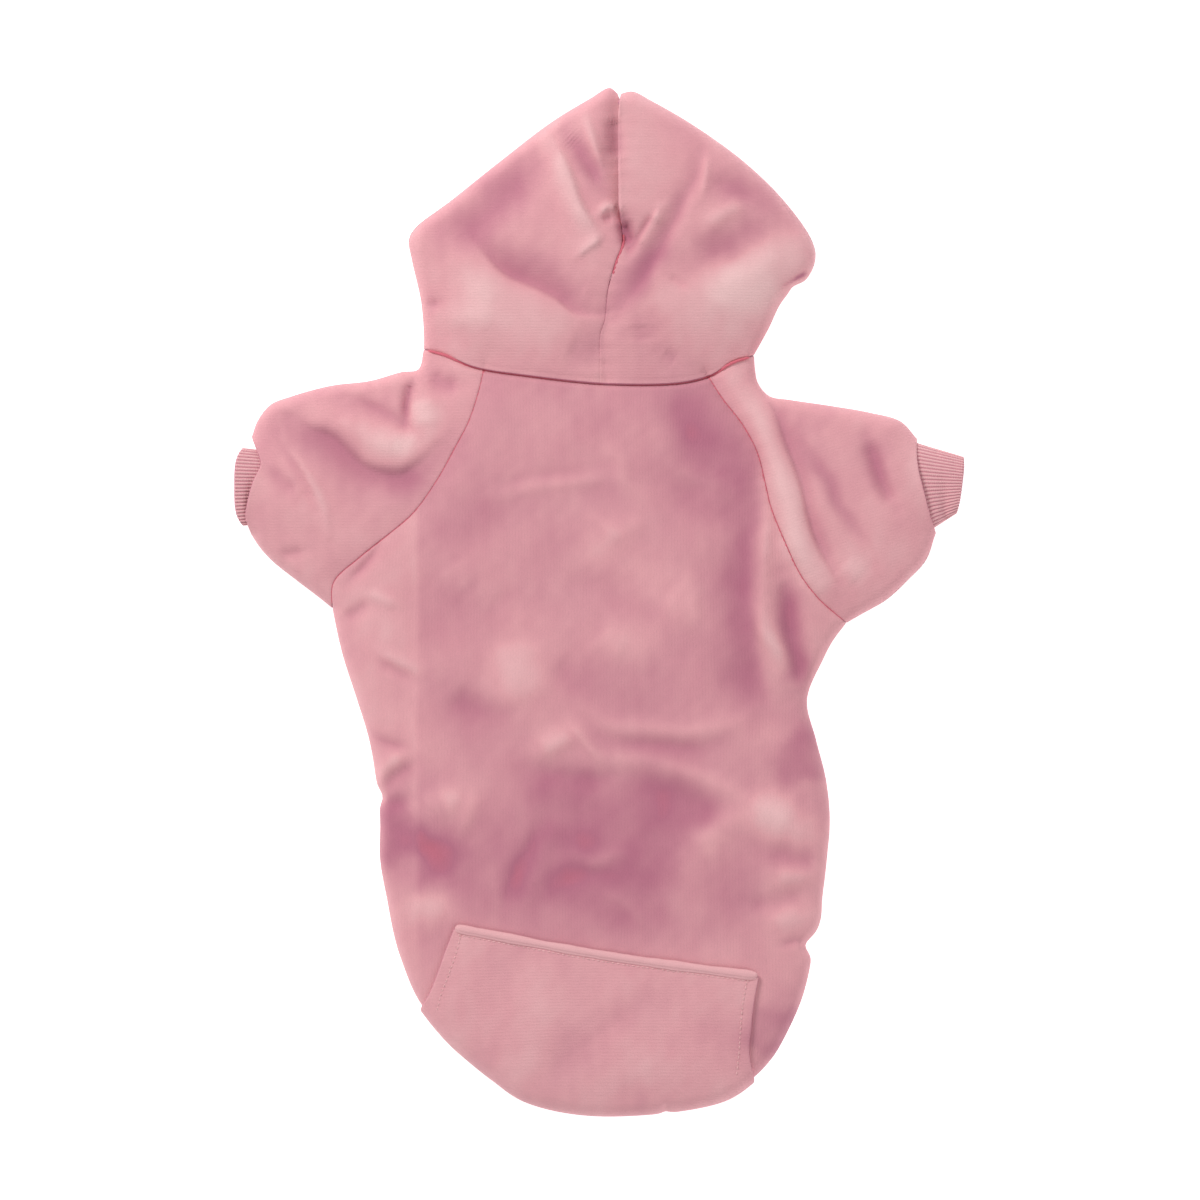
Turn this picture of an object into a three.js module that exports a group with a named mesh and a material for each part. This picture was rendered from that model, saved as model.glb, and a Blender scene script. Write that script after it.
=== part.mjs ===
// Fleece dog hoodie, lying flat on its belly with the back up.
// Millimetres. +Z is up, +Y runs from the tail to the hood and +X to the right seen from above.
// The nape, where the back panel meets the hood, is at y = 0 while the pieces are worked out.
import * as THREE from 'three';

// Driving sizes
const BACK_LENGTH = 350; // nape to tail
const UNDERARM_DEPTH = 106; // nape to underarm, along the body
const HALF_WIDTH = 107; // half of the flat chest
const NECK_HALF_WIDTH = 80; // half of the flat neck
const NECK_SCOOP = 17; // rise of the neck seam from the nape to the sides of the neck
const THROAT_SCOOP = 14; // how much lower the neck seam runs at the throat than at the nape
const SLEEVE_LENGTH = 60; // from the line of the flat chest out to the cuff seam
const HOOD_HEIGHT = 141; // nape to peak
const HOOD_HALF_WIDTH = 97; // half of the flat hood
const FACE_OPENING_WIDTH = 62;
const CUFF_LENGTH = 16.5;
const CUFF_HEIGHT = 17; // thickness of the flat cuff where it is sewn on
const LEFT_CUFF_SHOWING = 7.5; // the rest of the left cuff is tucked up inside its sleeve
const CLOTH = 2.2; // fleece
const RIB_CLOTH = 2;
const RIB_DEPTH = 0.5;
const SEAM_GAP = 0.8; // clearance between neighbouring panels
const SIDE_WRAP = 24; // back cloth that goes round the side folds to the side seams and hem
const BELLY_SHARE = 0.42; // belly length past the underarm, as a share of the back there

// Relief of the flat garment
const FOLD_HEIGHT = 6; // height of the folded outer edge above the floor
const EDGE_RISE = 8; // top cloth above the folded edge, just inside it
const EDGE_RADIUS = 7;
const BODY_PUFF = 13; // further slow rise towards the middle
const HOOD_PUFF = 21;
const PUFF_REACH = 25;
const SEAM_GROOVE = 2.4;
const NECK_GROOVE = 6;
const GROOVE_WIDTH = 5;
const EDGE_ZONE = 4; // this near the outline the cloth rounds its edge
const SLOPE_STEP = 1.5; // over which the slope of the cloth is measured

// Seams and hems
const SEAM_START = 0.004; // share of the body edge between the underarm and the start of the back cloth
const BELLY_START = 0.006; // the same for the belly cloth
const SIDE_SEAM_GAP = 1.2; // between the turned-under back cloth and the belly
const BELLY_HEM_RISE = 6; // the belly hem is this much shorter in the middle
const TAIL_CORNER_LEFT = 0.36; // shares of the body edge where the sides pass into the tail
const TAIL_CORNER_RIGHT = 0.64;
const WRAP_START = 0.16; // share of the body edge over which the turned-under cloth widens

// Cuffs
const LEFT_CUFF_INSET = 2; // the tucked-up end is narrower on both sides
const LEFT_CUFF_HEIGHT = 11.9;
const RIGHT_CUFF_END_HEIGHT = 13.6;
const RIGHT_CUFF_GAP = 1.2; // between the sleeve end and the cuff
const CUFF_ROUNDNESS = 0.7; // 1 makes an ellipse, less a flatter tube with fuller edges

// Hood
const FOREHEAD_UP = 0.7; // where the face opening ends, as a share of the height
const SEAM_TOP_UP = 0.9; // where the middle seam ends under the peak
const PEAK_NOTCH = 1.2; // each half of the hood stops this much short of the peak
const FOOT_GAP = 1.2; // between the foot of the hood and the neck seam
const PEAK_SHARPNESS = 30; // how near the peak that begins
const HOOD_FOLD_SHARE = 0.62; // share of the columns that lie on the upper side
const HOOD_FOLD_EASE = 0.3; // less puts more columns at the outer fold
const NECK_BEND = 3; // how soon the hood leaves the shape of the neck seam
const HOOD_PUFF_END = 0.3; // share of the height over which the hood reaches its full puff

// Pocket
const POCKET_CLOTH = 2;
const POCKET_CLEARANCE = 0.7;
const POCKET_TOP = 0.635; // its left top corner, as a share of the body's length past the underarm
const POCKET_SLANT = 23; // the top edge drops this much from left to right
const ROLL_WIDTH = 4.4;
const ROLL_HEIGHT = 3;
const POCKET_TOP_SAG = 2;

// Steps along paths and facets
const OUTLINE_STEP = 2.5;
const PAST_CUFF = 70; // how far the outline is carried on past each cuff
const SHARE_STEP = 1e-3; // for the direction of a path
const SURFACE_STEP = 0.012; // for the direction of a surface
const ACROSS_CROWDING = 0.45;
const TAIL_CROWDING = 0.35;
const BELLY_CROWDING = 0.3;
const BODY_ROWS = 37;
const BODY_COLUMNS = 24;
const BELLY_ROWS = 17;
const BELLY_COLUMNS = 11;
const SLEEVE_ROWS = 10;
const SLEEVE_SIDES = 30;
const HOOD_ROWS = 16;
const HOOD_COLUMNS = 16;
const CUFF_ROWS = 3;
const CUFF_SIDES = 48;
const POCKET_ROWS = 9;
const POCKET_COLUMNS = 15;
const ROLL_ROWS = 16;
const ROLL_SIDES = 6;

// Body outline below the underarms: down is a share of the length from underarm to tail,
// left and right are shares of the half width
const BODY_OUTLINE = [
  { down: 0.075, left: -1.17, right: 1.04 },
  { down: 0.112, left: -1.148, right: 0.996 },
  { down: 0.19, left: -1.09, right: 0.925 },
  { down: 0.268, left: -1.036, right: 0.965 },
  { down: 0.347, left: -1.005, right: 1.01 },
  { down: 0.425, left: -0.987, right: 1.027 },
  { down: 0.503, left: -0.987, right: 1.014 },
  { down: 0.581, left: -0.956, right: 0.992 },
  { down: 0.66, left: -0.92, right: 0.958 },
  { down: 0.705, left: -0.888, right: 0.943 },
  { down: 0.777, left: -0.818, right: 0.902 },
  { down: 0.855, left: -0.679, right: 0.822 },
  { down: 0.894, left: -0.581, right: 0.768 },
  { down: 0.933, left: -0.469, right: 0.683 },
  { down: 0.973, left: -0.331, right: 0.54 },
];
const TAIL_TIP = { down: 1, across: -0.013 };

// Hood outline from the neck to the peak: across is a share of the half width, up of the height
const HOOD_OUTLINE_LEFT = [
  { across: -0.872, up: 0.156 },
  { across: -0.887, up: 0.274 },
  { across: -0.931, up: 0.41 },
  { across: -0.946, up: 0.478 },
  { across: -0.916, up: 0.518 },
  { across: -0.739, up: 0.613 },
  { across: -0.493, up: 0.749 },
  { across: -0.236, up: 0.884 },
  { across: -0.049, up: 0.962 },
  { across: 0.049, up: 1 },
];
const HOOD_OUTLINE_RIGHT = [
  { across: 0.828, up: 0.173 },
  { across: 0.902, up: 0.274 },
  { across: 1.025, up: 0.352 },
  { across: 1.062, up: 0.417 },
  { across: 1.044, up: 0.478 },
  { across: 0.907, up: 0.613 },
  { across: 0.705, up: 0.749 },
  { across: 0.443, up: 0.878 },
  { across: 0.246, up: 0.956 },
  { across: 0.158, up: 0.987 },
];
const HOOD_PEAK = { across: 0.094, up: 0.983 };

// Middle seam of the hood on its upper side, from nape to peak
const HOOD_SEAM = [
  { across: 0.03, up: 0 },
  { across: 0.018, up: 0.156 },
  { across: 0.047, up: 0.309 },
  { across: 0.111, up: 0.461 },
  { across: 0.104, up: 0.563 },
  { across: 0.096, up: 0.9 },
];

// Neck seam on the back: across is a share of the neck half width, up of the scoop
const NECK_SEAM = [
  { across: -1.058, up: 0.9 },
  { across: -0.926, up: 0.73 },
  { across: -0.711, up: 0.42 },
  { across: -0.478, up: 0.25 },
  { across: 0.03, up: 0 },
  { across: 0.478, up: 0.03 },
  { across: 0.664, up: 0.25 },
  { across: 0.776, up: 0.5 },
  { across: 0.92, up: 0.72 },
];
// Where the raglan seams and the middle of the hood meet the neck seam, as shares of its length
const RAGLAN_START_LEFT = 0.19;
const NAPE_SHARE = 0.53;
const RAGLAN_START_RIGHT = 0.845;

// Raglan seams from the neck seam to the underarm, as shares of that distance
const RAGLAN_LEFT = [
  { down: 0.116, out: 0.064 },
  { down: 0.261, out: 0.161 },
  { down: 0.336, out: 0.213 },
  { down: 0.594, out: 0.422 },
  { down: 0.78, out: 0.683 },
];
const RAGLAN_RIGHT = [
  { down: 0.14, out: 0.176 },
  { down: 0.27, out: 0.319 },
  { down: 0.39, out: 0.408 },
  { down: 0.55, out: 0.512 },
  { down: 0.75, out: 0.637 },
];

// Sleeve outlines: out is a share of the way from the start of the edge to the cuff seam,
// down is a share of the underarm depth
const LEFT_SLEEVE = {
  underarm: { across: 1.2, down: 1.024 },
  upper: [
    { out: 0.03, down: -0.058 },
    { out: 0.13, down: -0.045 },
    { out: 0.31, down: -0.005 },
    { out: 0.54, down: 0.018 },
    { out: 0.775, down: 0.068 },
    { out: 0.89, down: 0.104 },
    { out: 0.965, down: 0.176 },
    { out: 1, down: 0.25 },
  ],
  lower: [
    { out: 1, down: 0.695 },
    { out: 0.92, down: 0.74 },
    { out: 0.755, down: 0.808 },
    { out: 0.45, down: 0.897 },
    { out: 0.14, down: 0.983 },
  ],
  cuffEnd: { beyond: LEFT_CUFF_SHOWING, upper: 0.303, lower: 0.65, slant: 0 },
  reach: 1,
};
const RIGHT_SLEEVE = {
  underarm: { across: 1.1, down: 1.092 },
  upper: [
    { out: 0.006, down: -0.058 },
    { out: 0.024, down: 0.005 },
    { out: 0.092, down: 0.063 },
    { out: 0.221, down: 0.081 },
    { out: 0.466, down: 0.108 },
    { out: 0.712, down: 0.14 },
    { out: 0.902, down: 0.18 },
    { out: 1, down: 0.258 },
  ],
  lower: [
    { out: 1.27, down: 0.686 },
    { out: 1.127, down: 0.808 },
    { out: 0.873, down: 0.897 },
    { out: 0.562, down: 0.988 },
    { out: 0.195, down: 1.056 },
  ],
  cuffEnd: { beyond: CUFF_LENGTH, upper: 0.342, lower: 0.595, slant: 1.65 },
  reach: 0.742,
};

// Main folds of the body and sleeves: across in half widths, down in underarm depths,
// spread and height in millimetres
const BODY_FOLDS = [
  { across: -0.81, down: 0.9, acrossEnd: -0.83, downEnd: 2.35, spread: 6, height: 2 },
  { across: 0.74, down: 0.45, acrossEnd: 0.74, downEnd: 1.55, spread: 8, height: 3 },
  { across: 0.86, down: 1.1, acrossEnd: 0.87, downEnd: 1.5, spread: 6, height: -4 },
  { across: -0.1, down: 1.55, acrossEnd: -0.32, downEnd: 1.2, spread: 10, height: 2 },
  { across: -0.1, down: 1.75, acrossEnd: 0.25, downEnd: 1.9, spread: 11, height: -2.5 },
  { across: 0.1, down: 1.5, acrossEnd: 0.35, downEnd: 1.45, spread: 8, height: 2 },
  { across: -1.3, down: 0.2, acrossEnd: -0.95, downEnd: 0.42, spread: 8, height: -4 },
  { across: -0.95, down: 0.02, acrossEnd: -0.86, downEnd: 0.2, spread: 5, height: -3 },
  { across: 1.25, down: 0.3, acrossEnd: 1.25, downEnd: 0.5, spread: 8, height: -4 },
  { across: 0.86, down: 0.2, acrossEnd: 1, downEnd: 0.8, spread: 6, height: 3 },
  { across: 0.97, down: 0.45, acrossEnd: 1.1, downEnd: 0.8, spread: 6, height: -3.5 },
  { across: -1.08, down: 1.12, acrossEnd: -0.86, downEnd: 1.3, spread: 6, height: 2 },
];

// Main folds of the hood: across in hood half widths, up in hood heights
const HOOD_FOLDS = [
  { across: -0.18, up: 0.9, acrossEnd: 0, upEnd: 0.5, spread: 7, height: 4 },
  { across: -0.75, up: 0.46, acrossEnd: -0.25, upEnd: 0.2, spread: 9, height: -5 },
  { across: 0.46, up: 0.85, acrossEnd: 0.44, upEnd: 0.6, spread: 8, height: 4 },
  { across: 0.46, up: 0.55, acrossEnd: 0.12, upEnd: 0.22, spread: 9, height: -6 },
  { across: 0.12, up: 0.5, acrossEnd: 0.24, upEnd: 0.55, spread: 9, height: -6 },
  { across: 0.62, up: 0.65, acrossEnd: 0.7, upEnd: 0.45, spread: 8, height: -4 },
];

// Small helpers
const point = (x, y) => new THREE.Vector2(x, y);
const mix = THREE.MathUtils.lerp;
const smooth = THREE.MathUtils.smoothstep;

// A smooth path in plan through a few points, asked for by its share of length
function splinePath(points) {
  const corners = points.map((p) => new THREE.Vector3(p.x, p.y, 0));
  const curve = new THREE.CatmullRomCurve3(corners, false, 'centripetal');
  curve.arcLengthDivisions = 400;
  return {
    length: curve.getLength(),
    at(share) {
      const inside = THREE.MathUtils.clamp(share, 0, 1);
      const p = curve.getPointAt(inside);
      const along = curve.getTangentAt(inside).multiplyScalar((share - inside) * this.length);
      return point(p.x + along.x, p.y + along.y);
    },
  };
}

// The stretch of a path between two shares, in either direction
function stretchOf(path, from, to) {
  return { length: path.length * Math.abs(to - from), at: (share) => path.at(mix(from, to, share)) };
}

// Paths laid end to end
function chain(...paths) {
  const length = paths.reduce((sum, path) => sum + path.length, 0);
  return {
    length,
    at(share) {
      let left = share * length;
      for (const path of paths.slice(0, -1)) {
        if (left < path.length) return path.at(left / path.length);
        left -= path.length;
      }
      const last = paths[paths.length - 1];
      return last.at(left / last.length);
    },
  };
}

// The direction of a path turned a quarter to its left
function leftOf(path, share) {
  const ahead = path.at(share + SHARE_STEP).sub(path.at(share - SHARE_STEP)).normalize();
  return point(-ahead.y, ahead.x);
}

// The same path moved sideways in plan; a positive step goes to its left
function stepAside(path, step) {
  return { length: path.length, at: (share) => path.at(share).addScaledVector(leftOf(path, share), step) };
}

// Outline of the flat garment, piece by piece
const bodyBelowUnderarm = BACK_LENGTH - UNDERARM_DEPTH;
const onNeckSeam = (row) => point(row.across * NECK_HALF_WIDTH, row.up * NECK_SCOOP);
const neckSeam = splinePath(NECK_SEAM.map(onNeckSeam));
const neckLeft = neckSeam.at(0);
const neckRight = neckSeam.at(1);
const throatSeam = {
  length: neckSeam.length,
  at(share) {
    const p = neckSeam.at(share);
    const fromMiddle = (2 * p.x - neckLeft.x - neckRight.x) / (neckRight.x - neckLeft.x);
    return point(p.x, p.y - THROAT_SCOOP * (1 - fromMiddle * fromMiddle));
  },
};

const onHood = (row) => point(row.across * HOOD_HALF_WIDTH, row.up * HOOD_HEIGHT);
const hoodEdgeLeft = splinePath([neckLeft, ...HOOD_OUTLINE_LEFT.map(onHood), onHood(HOOD_PEAK)]);
const hoodEdgeRight = splinePath([neckRight, ...HOOD_OUTLINE_RIGHT.map(onHood), onHood(HOOD_PEAK)]);
const hoodSeam = splinePath(HOOD_SEAM.map(onHood));

// A sleeve's edges in plan: side is -1 on the left and 1 on the right
function sleeveEdges(table, side, neckEnd) {
  const cuffSeam = HALF_WIDTH + SLEEVE_LENGTH * table.reach;
  const underarm = point(side * table.underarm.across * HALF_WIDTH, -table.underarm.down * UNDERARM_DEPTH);
  const from = (start) => (row) => point(side * mix(start, cuffSeam, row.out), -row.down * UNDERARM_DEPTH);
  const upper = table.upper.map(from(Math.abs(neckEnd.x)));
  const lower = table.lower.map(from(Math.abs(underarm.x))).reverse();
  const seamX = (upper[upper.length - 1].x + lower[lower.length - 1].x) / 2;
  const { beyond, slant } = table.cuffEnd;
  return {
    underarm,
    upper: splinePath([neckEnd, ...upper]),
    lower: splinePath([underarm, ...lower]),
    cuffUpper: point(seamX + side * (beyond + slant), -table.cuffEnd.upper * UNDERARM_DEPTH),
    cuffLower: point(seamX + side * (beyond - slant), -table.cuffEnd.lower * UNDERARM_DEPTH),
  };
}
const leftEdges = sleeveEdges(LEFT_SLEEVE, -1, neckLeft);
const rightEdges = sleeveEdges(RIGHT_SLEEVE, 1, neckRight);

const onBody = (across, down) => point(across * HALF_WIDTH, -UNDERARM_DEPTH - down * bodyBelowUnderarm);
const bodyEdge = splinePath([
  leftEdges.underarm,
  ...BODY_OUTLINE.map((row) => onBody(row.left, row.down)),
  onBody(TAIL_TIP.across, TAIL_TIP.down),
  ...BODY_OUTLINE.map((row) => onBody(row.right, row.down)).reverse(),
  rightEdges.underarm,
]);

// The whole outline as one closed chain of points. Past each cuff it runs on as if the sleeve had no end,
// so that the cloth stays open there.
function sampled(path) {
  const steps = Math.ceil(path.length / OUTLINE_STEP);
  return Array.from({ length: steps }, (_, i) => path.at(i / steps));
}
const backwards = (path) => stretchOf(path, 1, 0);
function cuffSpur(edges) {
  const far = Math.sign(edges.cuffUpper.x) * PAST_CUFF;
  return [edges.cuffUpper, point(edges.cuffUpper.x + far, edges.cuffUpper.y),
    point(edges.cuffLower.x + far, edges.cuffLower.y), edges.cuffLower];
}
const outline = [
  ...sampled(hoodEdgeLeft),
  ...sampled(backwards(hoodEdgeRight)),
  ...sampled(rightEdges.upper),
  rightEdges.upper.at(1),
  ...cuffSpur(rightEdges),
  ...sampled(backwards(rightEdges.lower)),
  ...sampled(backwards(bodyEdge)),
  ...sampled(leftEdges.lower),
  leftEdges.lower.at(1),
  ...cuffSpur(leftEdges).reverse(),
  ...sampled(backwards(leftEdges.upper)),
];

// Distance in from the outline, rounded off where several edges are near. It is the exact distance
// beside one straight edge.
function depthInside(p) {
  let pull = 0;
  for (let i = 0; i < outline.length; i += 1) {
    const a = outline[i];
    const b = outline[(i + 1) % outline.length];
    const length = Math.hypot(b.x - a.x, b.y - a.y);
    if (length < 1e-6) continue;
    const ux = (b.x - a.x) / length;
    const uy = (b.y - a.y) / length;
    const before = (a.x - p.x) * ux + (a.y - p.y) * uy;
    const after = before + length;
    const off = Math.max(1e-8, Math.pow((a.x - p.x) * uy - (a.y - p.y) * ux, 2));
    pull += (after / Math.sqrt(off + after * after) - before / Math.sqrt(off + before * before)) / off;
  }
  return Math.sqrt(2 / pull);
}

// The nearest point of the outline
function nearestOnOutline(p) {
  let best = null;
  let least = Infinity;
  for (let i = 0; i < outline.length; i += 1) {
    const a = outline[i];
    const b = outline[(i + 1) % outline.length];
    const ab = b.clone().sub(a);
    const t = THREE.MathUtils.clamp(p.clone().sub(a).dot(ab) / Math.max(ab.lengthSq(), 1e-9), 0, 1);
    const q = a.clone().addScaledVector(ab, t);
    const distance = q.distanceToSquared(p);
    if (distance < least) {
      least = distance;
      best = q;
    }
  }
  return best;
}

// Raglan seams on the back, and the matching ones on the belly
function raglanSeam(start, table, underarm) {
  const onSeam = (row) => point(mix(start.x, underarm.x, row.out), mix(start.y, underarm.y, row.down));
  return splinePath([start, ...table.map(onSeam), underarm]);
}
const raglanLeft = raglanSeam(neckSeam.at(RAGLAN_START_LEFT), RAGLAN_LEFT, leftEdges.underarm);
const raglanRight = raglanSeam(neckSeam.at(RAGLAN_START_RIGHT), RAGLAN_RIGHT, rightEdges.underarm);
const underRaglanLeft = raglanSeam(throatSeam.at(RAGLAN_START_LEFT), RAGLAN_LEFT, leftEdges.underarm);
const underRaglanRight = raglanSeam(throatSeam.at(RAGLAN_START_RIGHT), RAGLAN_RIGHT, rightEdges.underarm);

// Relief: grooves along the seams and the table of folds
function distanceToPath(p, samples) {
  let least = Infinity;
  for (const q of samples) least = Math.min(least, q.distanceToSquared(p));
  return Math.sqrt(least);
}
const GROOVES = [
  { samples: sampled(neckSeam), depth: NECK_GROOVE },
  { samples: sampled(raglanLeft), depth: SEAM_GROOVE },
  { samples: sampled(raglanRight), depth: SEAM_GROOVE },
  { samples: sampled(hoodSeam), depth: SEAM_GROOVE },
];
const FOLDS = [
  ...BODY_FOLDS.map((row) => ({
    start: point(row.across * HALF_WIDTH, -row.down * UNDERARM_DEPTH),
    end: point(row.acrossEnd * HALF_WIDTH, -row.downEnd * UNDERARM_DEPTH),
    ...row,
  })),
  ...HOOD_FOLDS.map((row) => ({
    start: point(row.across * HOOD_HALF_WIDTH, row.up * HOOD_HEIGHT),
    end: point(row.acrossEnd * HOOD_HALF_WIDTH, row.upEnd * HOOD_HEIGHT),
    ...row,
  })),
];
function foldRelief(p) {
  let height = 0;
  for (const fold of FOLDS) {
    const line = fold.end.clone().sub(fold.start);
    const t = THREE.MathUtils.clamp(p.clone().sub(fold.start).dot(line) / line.lengthSq(), 0, 1);
    const off = fold.start.clone().addScaledVector(line, t).distanceTo(p);
    height += fold.height * Math.exp(-Math.pow(off / fold.spread, 2));
  }
  return height;
}
function grooveRelief(p) {
  let deepest = 0;
  for (const groove of GROOVES) {
    const off = distanceToPath(p, groove.samples) / GROOVE_WIDTH;
    deepest = Math.max(deepest, groove.depth * Math.exp(-off * off));
  }
  return deepest;
}

// Height of the upper cloth over the floor, and of the cloth underneath
function upperHeight(p) {
  const depth = depthInside(p);
  const round = 1 - Math.min(depth / EDGE_RADIUS, 1);
  const puff = mix(BODY_PUFF, HOOD_PUFF, smooth(p.y, 0, HOOD_PUFF_END * HOOD_HEIGHT));
  const rise = EDGE_RISE * Math.sqrt(1 - round * round) + puff * (1 - Math.exp(-depth / PUFF_REACH));
  const relief = (foldRelief(p) - grooveRelief(p)) * (1 - Math.exp(-Math.pow(depth / EDGE_RADIUS, 2)));
  return FOLD_HEIGHT + rise + relief;
}
function lowerHeight(p) {
  const round = 1 - Math.min(depthInside(p) / FOLD_HEIGHT, 1);
  return FOLD_HEIGHT * (1 - Math.sqrt(1 - round * round));
}
const onTop = (p) => new THREE.Vector3(p.x, p.y, upperHeight(p));
const onFloor = (p) => new THREE.Vector3(p.x, p.y, lowerHeight(p));

// Cloth that runs over the outer edge: inside the outline it lies on top, and as much as it goes past
// the outline it is turned under. squeeze keeps its rows evenly spaced round the folded edge.
const squeeze = (reach) => 1 - Math.exp(-reach / (2 * FOLD_HEIGHT));
function isInside(p) {
  let inside = false;
  for (let i = 0; i < outline.length; i += 1) {
    const a = outline[i];
    const b = outline[(i + 1) % outline.length];
    if (a.y > p.y !== b.y > p.y && p.x < a.x + ((p.y - a.y) * (b.x - a.x)) / (b.y - a.y)) inside = !inside;
  }
  return inside;
}
function turnedOver(spread) {
  const edge = nearestOnOutline(spread);
  const offset = spread.clone().sub(edge);
  const share = squeeze(offset.length());
  if (isInside(spread)) return onTop(edge.addScaledVector(offset, share));
  return onFloor(edge.addScaledVector(offset, -share));
}
// The reverse for a point on top: where it lies when the cloth is spread out
function spreadOut(p) {
  const edge = nearestOnOutline(p);
  const offset = p.clone().sub(edge);
  const distance = Math.max(offset.length(), 1e-6);
  let reach = distance;
  for (let i = 0; i < 30; i += 1) reach = distance / Math.max(squeeze(reach), 1e-3);
  return edge.addScaledVector(offset, reach / distance);
}

// Patch between four edges in plan: top and foot run across, left and right run down
function patchBetween(top, foot, left, right) {
  return (u, v) => {
    const p = top.at(u).multiplyScalar(1 - v);
    p.addScaledVector(foot.at(u), v);
    p.addScaledVector(left.at(v), 1 - u);
    p.addScaledVector(right.at(v), u);
    p.addScaledVector(left.at(0), -(1 - u) * (1 - v));
    p.addScaledVector(right.at(0), -u * (1 - v));
    p.addScaledVector(left.at(1), -(1 - u) * v);
    p.addScaledVector(right.at(1), -u * v);
    return p;
  };
}

// Which way the cloth faces at a point well inside the outline, from the slope of its height
function facing(p) {
  const upper = p.z > FOLD_HEIGHT;
  const height = (x, y) => (upper ? upperHeight(point(x, y)) : lowerHeight(point(x, y)));
  const dropX = height(p.x - SLOPE_STEP, p.y) - height(p.x + SLOPE_STEP, p.y);
  const dropY = height(p.x, p.y - SLOPE_STEP) - height(p.x, p.y + SLOPE_STEP);
  return new THREE.Vector3(dropX, dropY, 2 * SLOPE_STEP).normalize().multiplyScalar(upper ? 1 : -1);
}

// Closed cloth solid over a surface(u, v): a grid on the outer face, one a wall thickness behind it, and
// walls round the rim. flip turns it over, lift moves the whole wall off the surface, and ribs ruffles its
// columns. A cuff is not part of the garment's own relief, so its facing comes from its own surface alone.
function clothSolid(surface, { columns, rows, thickness, flip = false, ring = false, lift = 0, ribs = 0 }) {
  const acrossCount = ring ? columns : columns + 1;
  const positions = [];
  for (const face of [0, 1]) {
    for (let j = 0; j <= rows; j += 1) {
      for (let i = 0; i < acrossCount; i += 1) {
        const u = i / columns;
        const v = j / rows;
        const du = surface(u + SURFACE_STEP, v).sub(surface(u - SURFACE_STEP, v));
        const dv = surface(u, v + SURFACE_STEP).sub(surface(u, v - SURFACE_STEP));
        const p = surface(u, v);
        const inField = ribs === 0 && depthInside(p) > EDGE_ZONE;
        const across = du.cross(dv).normalize().multiplyScalar(flip ? -1 : 1);
        const normal = inField ? facing(p) : across;
        const rib = i % 2 === 0 ? ribs / 2 : -ribs / 2;
        p.addScaledVector(normal, lift + rib - face * thickness);
        positions.push(p.x, p.y, p.z);
      }
    }
  }
  const inner = acrossCount * (rows + 1);
  const at = (i, j) => j * acrossCount + (i % acrossCount);
  const triangles = [];
  const quad = (a, b, c, d) => triangles.push(a, b, c, a, c, d);
  for (let j = 0; j < rows; j += 1) {
    for (let i = 0; i < columns; i += 1) {
      quad(at(i, j), at(i + 1, j), at(i + 1, j + 1), at(i, j + 1));
      quad(inner + at(i, j), inner + at(i, j + 1), inner + at(i + 1, j + 1), inner + at(i + 1, j));
    }
  }
  const wall = (a, b) => quad(b, a, inner + a, inner + b);
  for (let i = 0; i < columns; i += 1) {
    wall(at(i, 0), at(i + 1, 0));
    wall(at(i + 1, rows), at(i, rows));
  }
  for (let j = 0; j < rows && !ring; j += 1) {
    wall(at(0, j + 1), at(0, j));
    wall(at(columns, j), at(columns, j + 1));
  }
  if (flip) triangles.reverse();
  const geometry = new THREE.BufferGeometry();
  geometry.setAttribute('position', new THREE.Float32BufferAttribute(positions, 3));
  geometry.setIndex(triangles);
  geometry.computeVertexNormals();
  return geometry;
}

// Rows closer together at both ends, where the cloth rounds its edges
const crowdEnds = (share, amount) => share - (amount * Math.sin(2 * Math.PI * share)) / (2 * Math.PI);
const crowdEnd = (share, amount) => share + (amount * Math.sin(Math.PI * share)) / Math.PI;

const halfGap = SEAM_GAP / 2;

// How far the back cloth is turned under along the body edge
const wrapAt = (share) => SIDE_WRAP * smooth(share, 0, WRAP_START) * smooth(1 - share, 0, WRAP_START);

// Part of the body edge moved by a distance that changes along it; a positive one goes inwards
function besideEdge(from, to, distance) {
  return {
    length: bodyEdge.length * Math.abs(to - from),
    at(share) {
      const along = mix(from, to, share);
      return bodyEdge.at(along).addScaledVector(leftOf(bodyEdge, along), distance(wrapAt(along)));
    },
  };
}

// Back panel, laid out with its turned-under cloth spread past the outline
function backPanel() {
  const spreadEdge = (from, to) => besideEdge(from, to, (wrap) => -wrap);
  const spreadSeam = (seam) => ({ length: seam.length, at: (share) => spreadOut(seam.at(share)) });
  const top = spreadSeam(stepAside(stretchOf(neckSeam, RAGLAN_START_LEFT, RAGLAN_START_RIGHT), -halfGap));
  const left = chain(spreadSeam(stepAside(raglanLeft, halfGap)), spreadEdge(SEAM_START, TAIL_CORNER_LEFT));
  const rightEdge = spreadEdge(1 - SEAM_START, TAIL_CORNER_RIGHT);
  const right = chain(spreadSeam(stepAside(raglanRight, -halfGap)), rightEdge);
  const foot = spreadEdge(TAIL_CORNER_LEFT, TAIL_CORNER_RIGHT);
  const patch = patchBetween(top, foot, left, right);
  const surface = (u, v) => turnedOver(patch(crowdEnds(u, ACROSS_CROWDING), crowdEnd(v, TAIL_CROWDING)));
  return clothSolid(surface, { columns: BODY_COLUMNS, rows: BODY_ROWS, thickness: CLOTH, flip: true });
}

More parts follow.
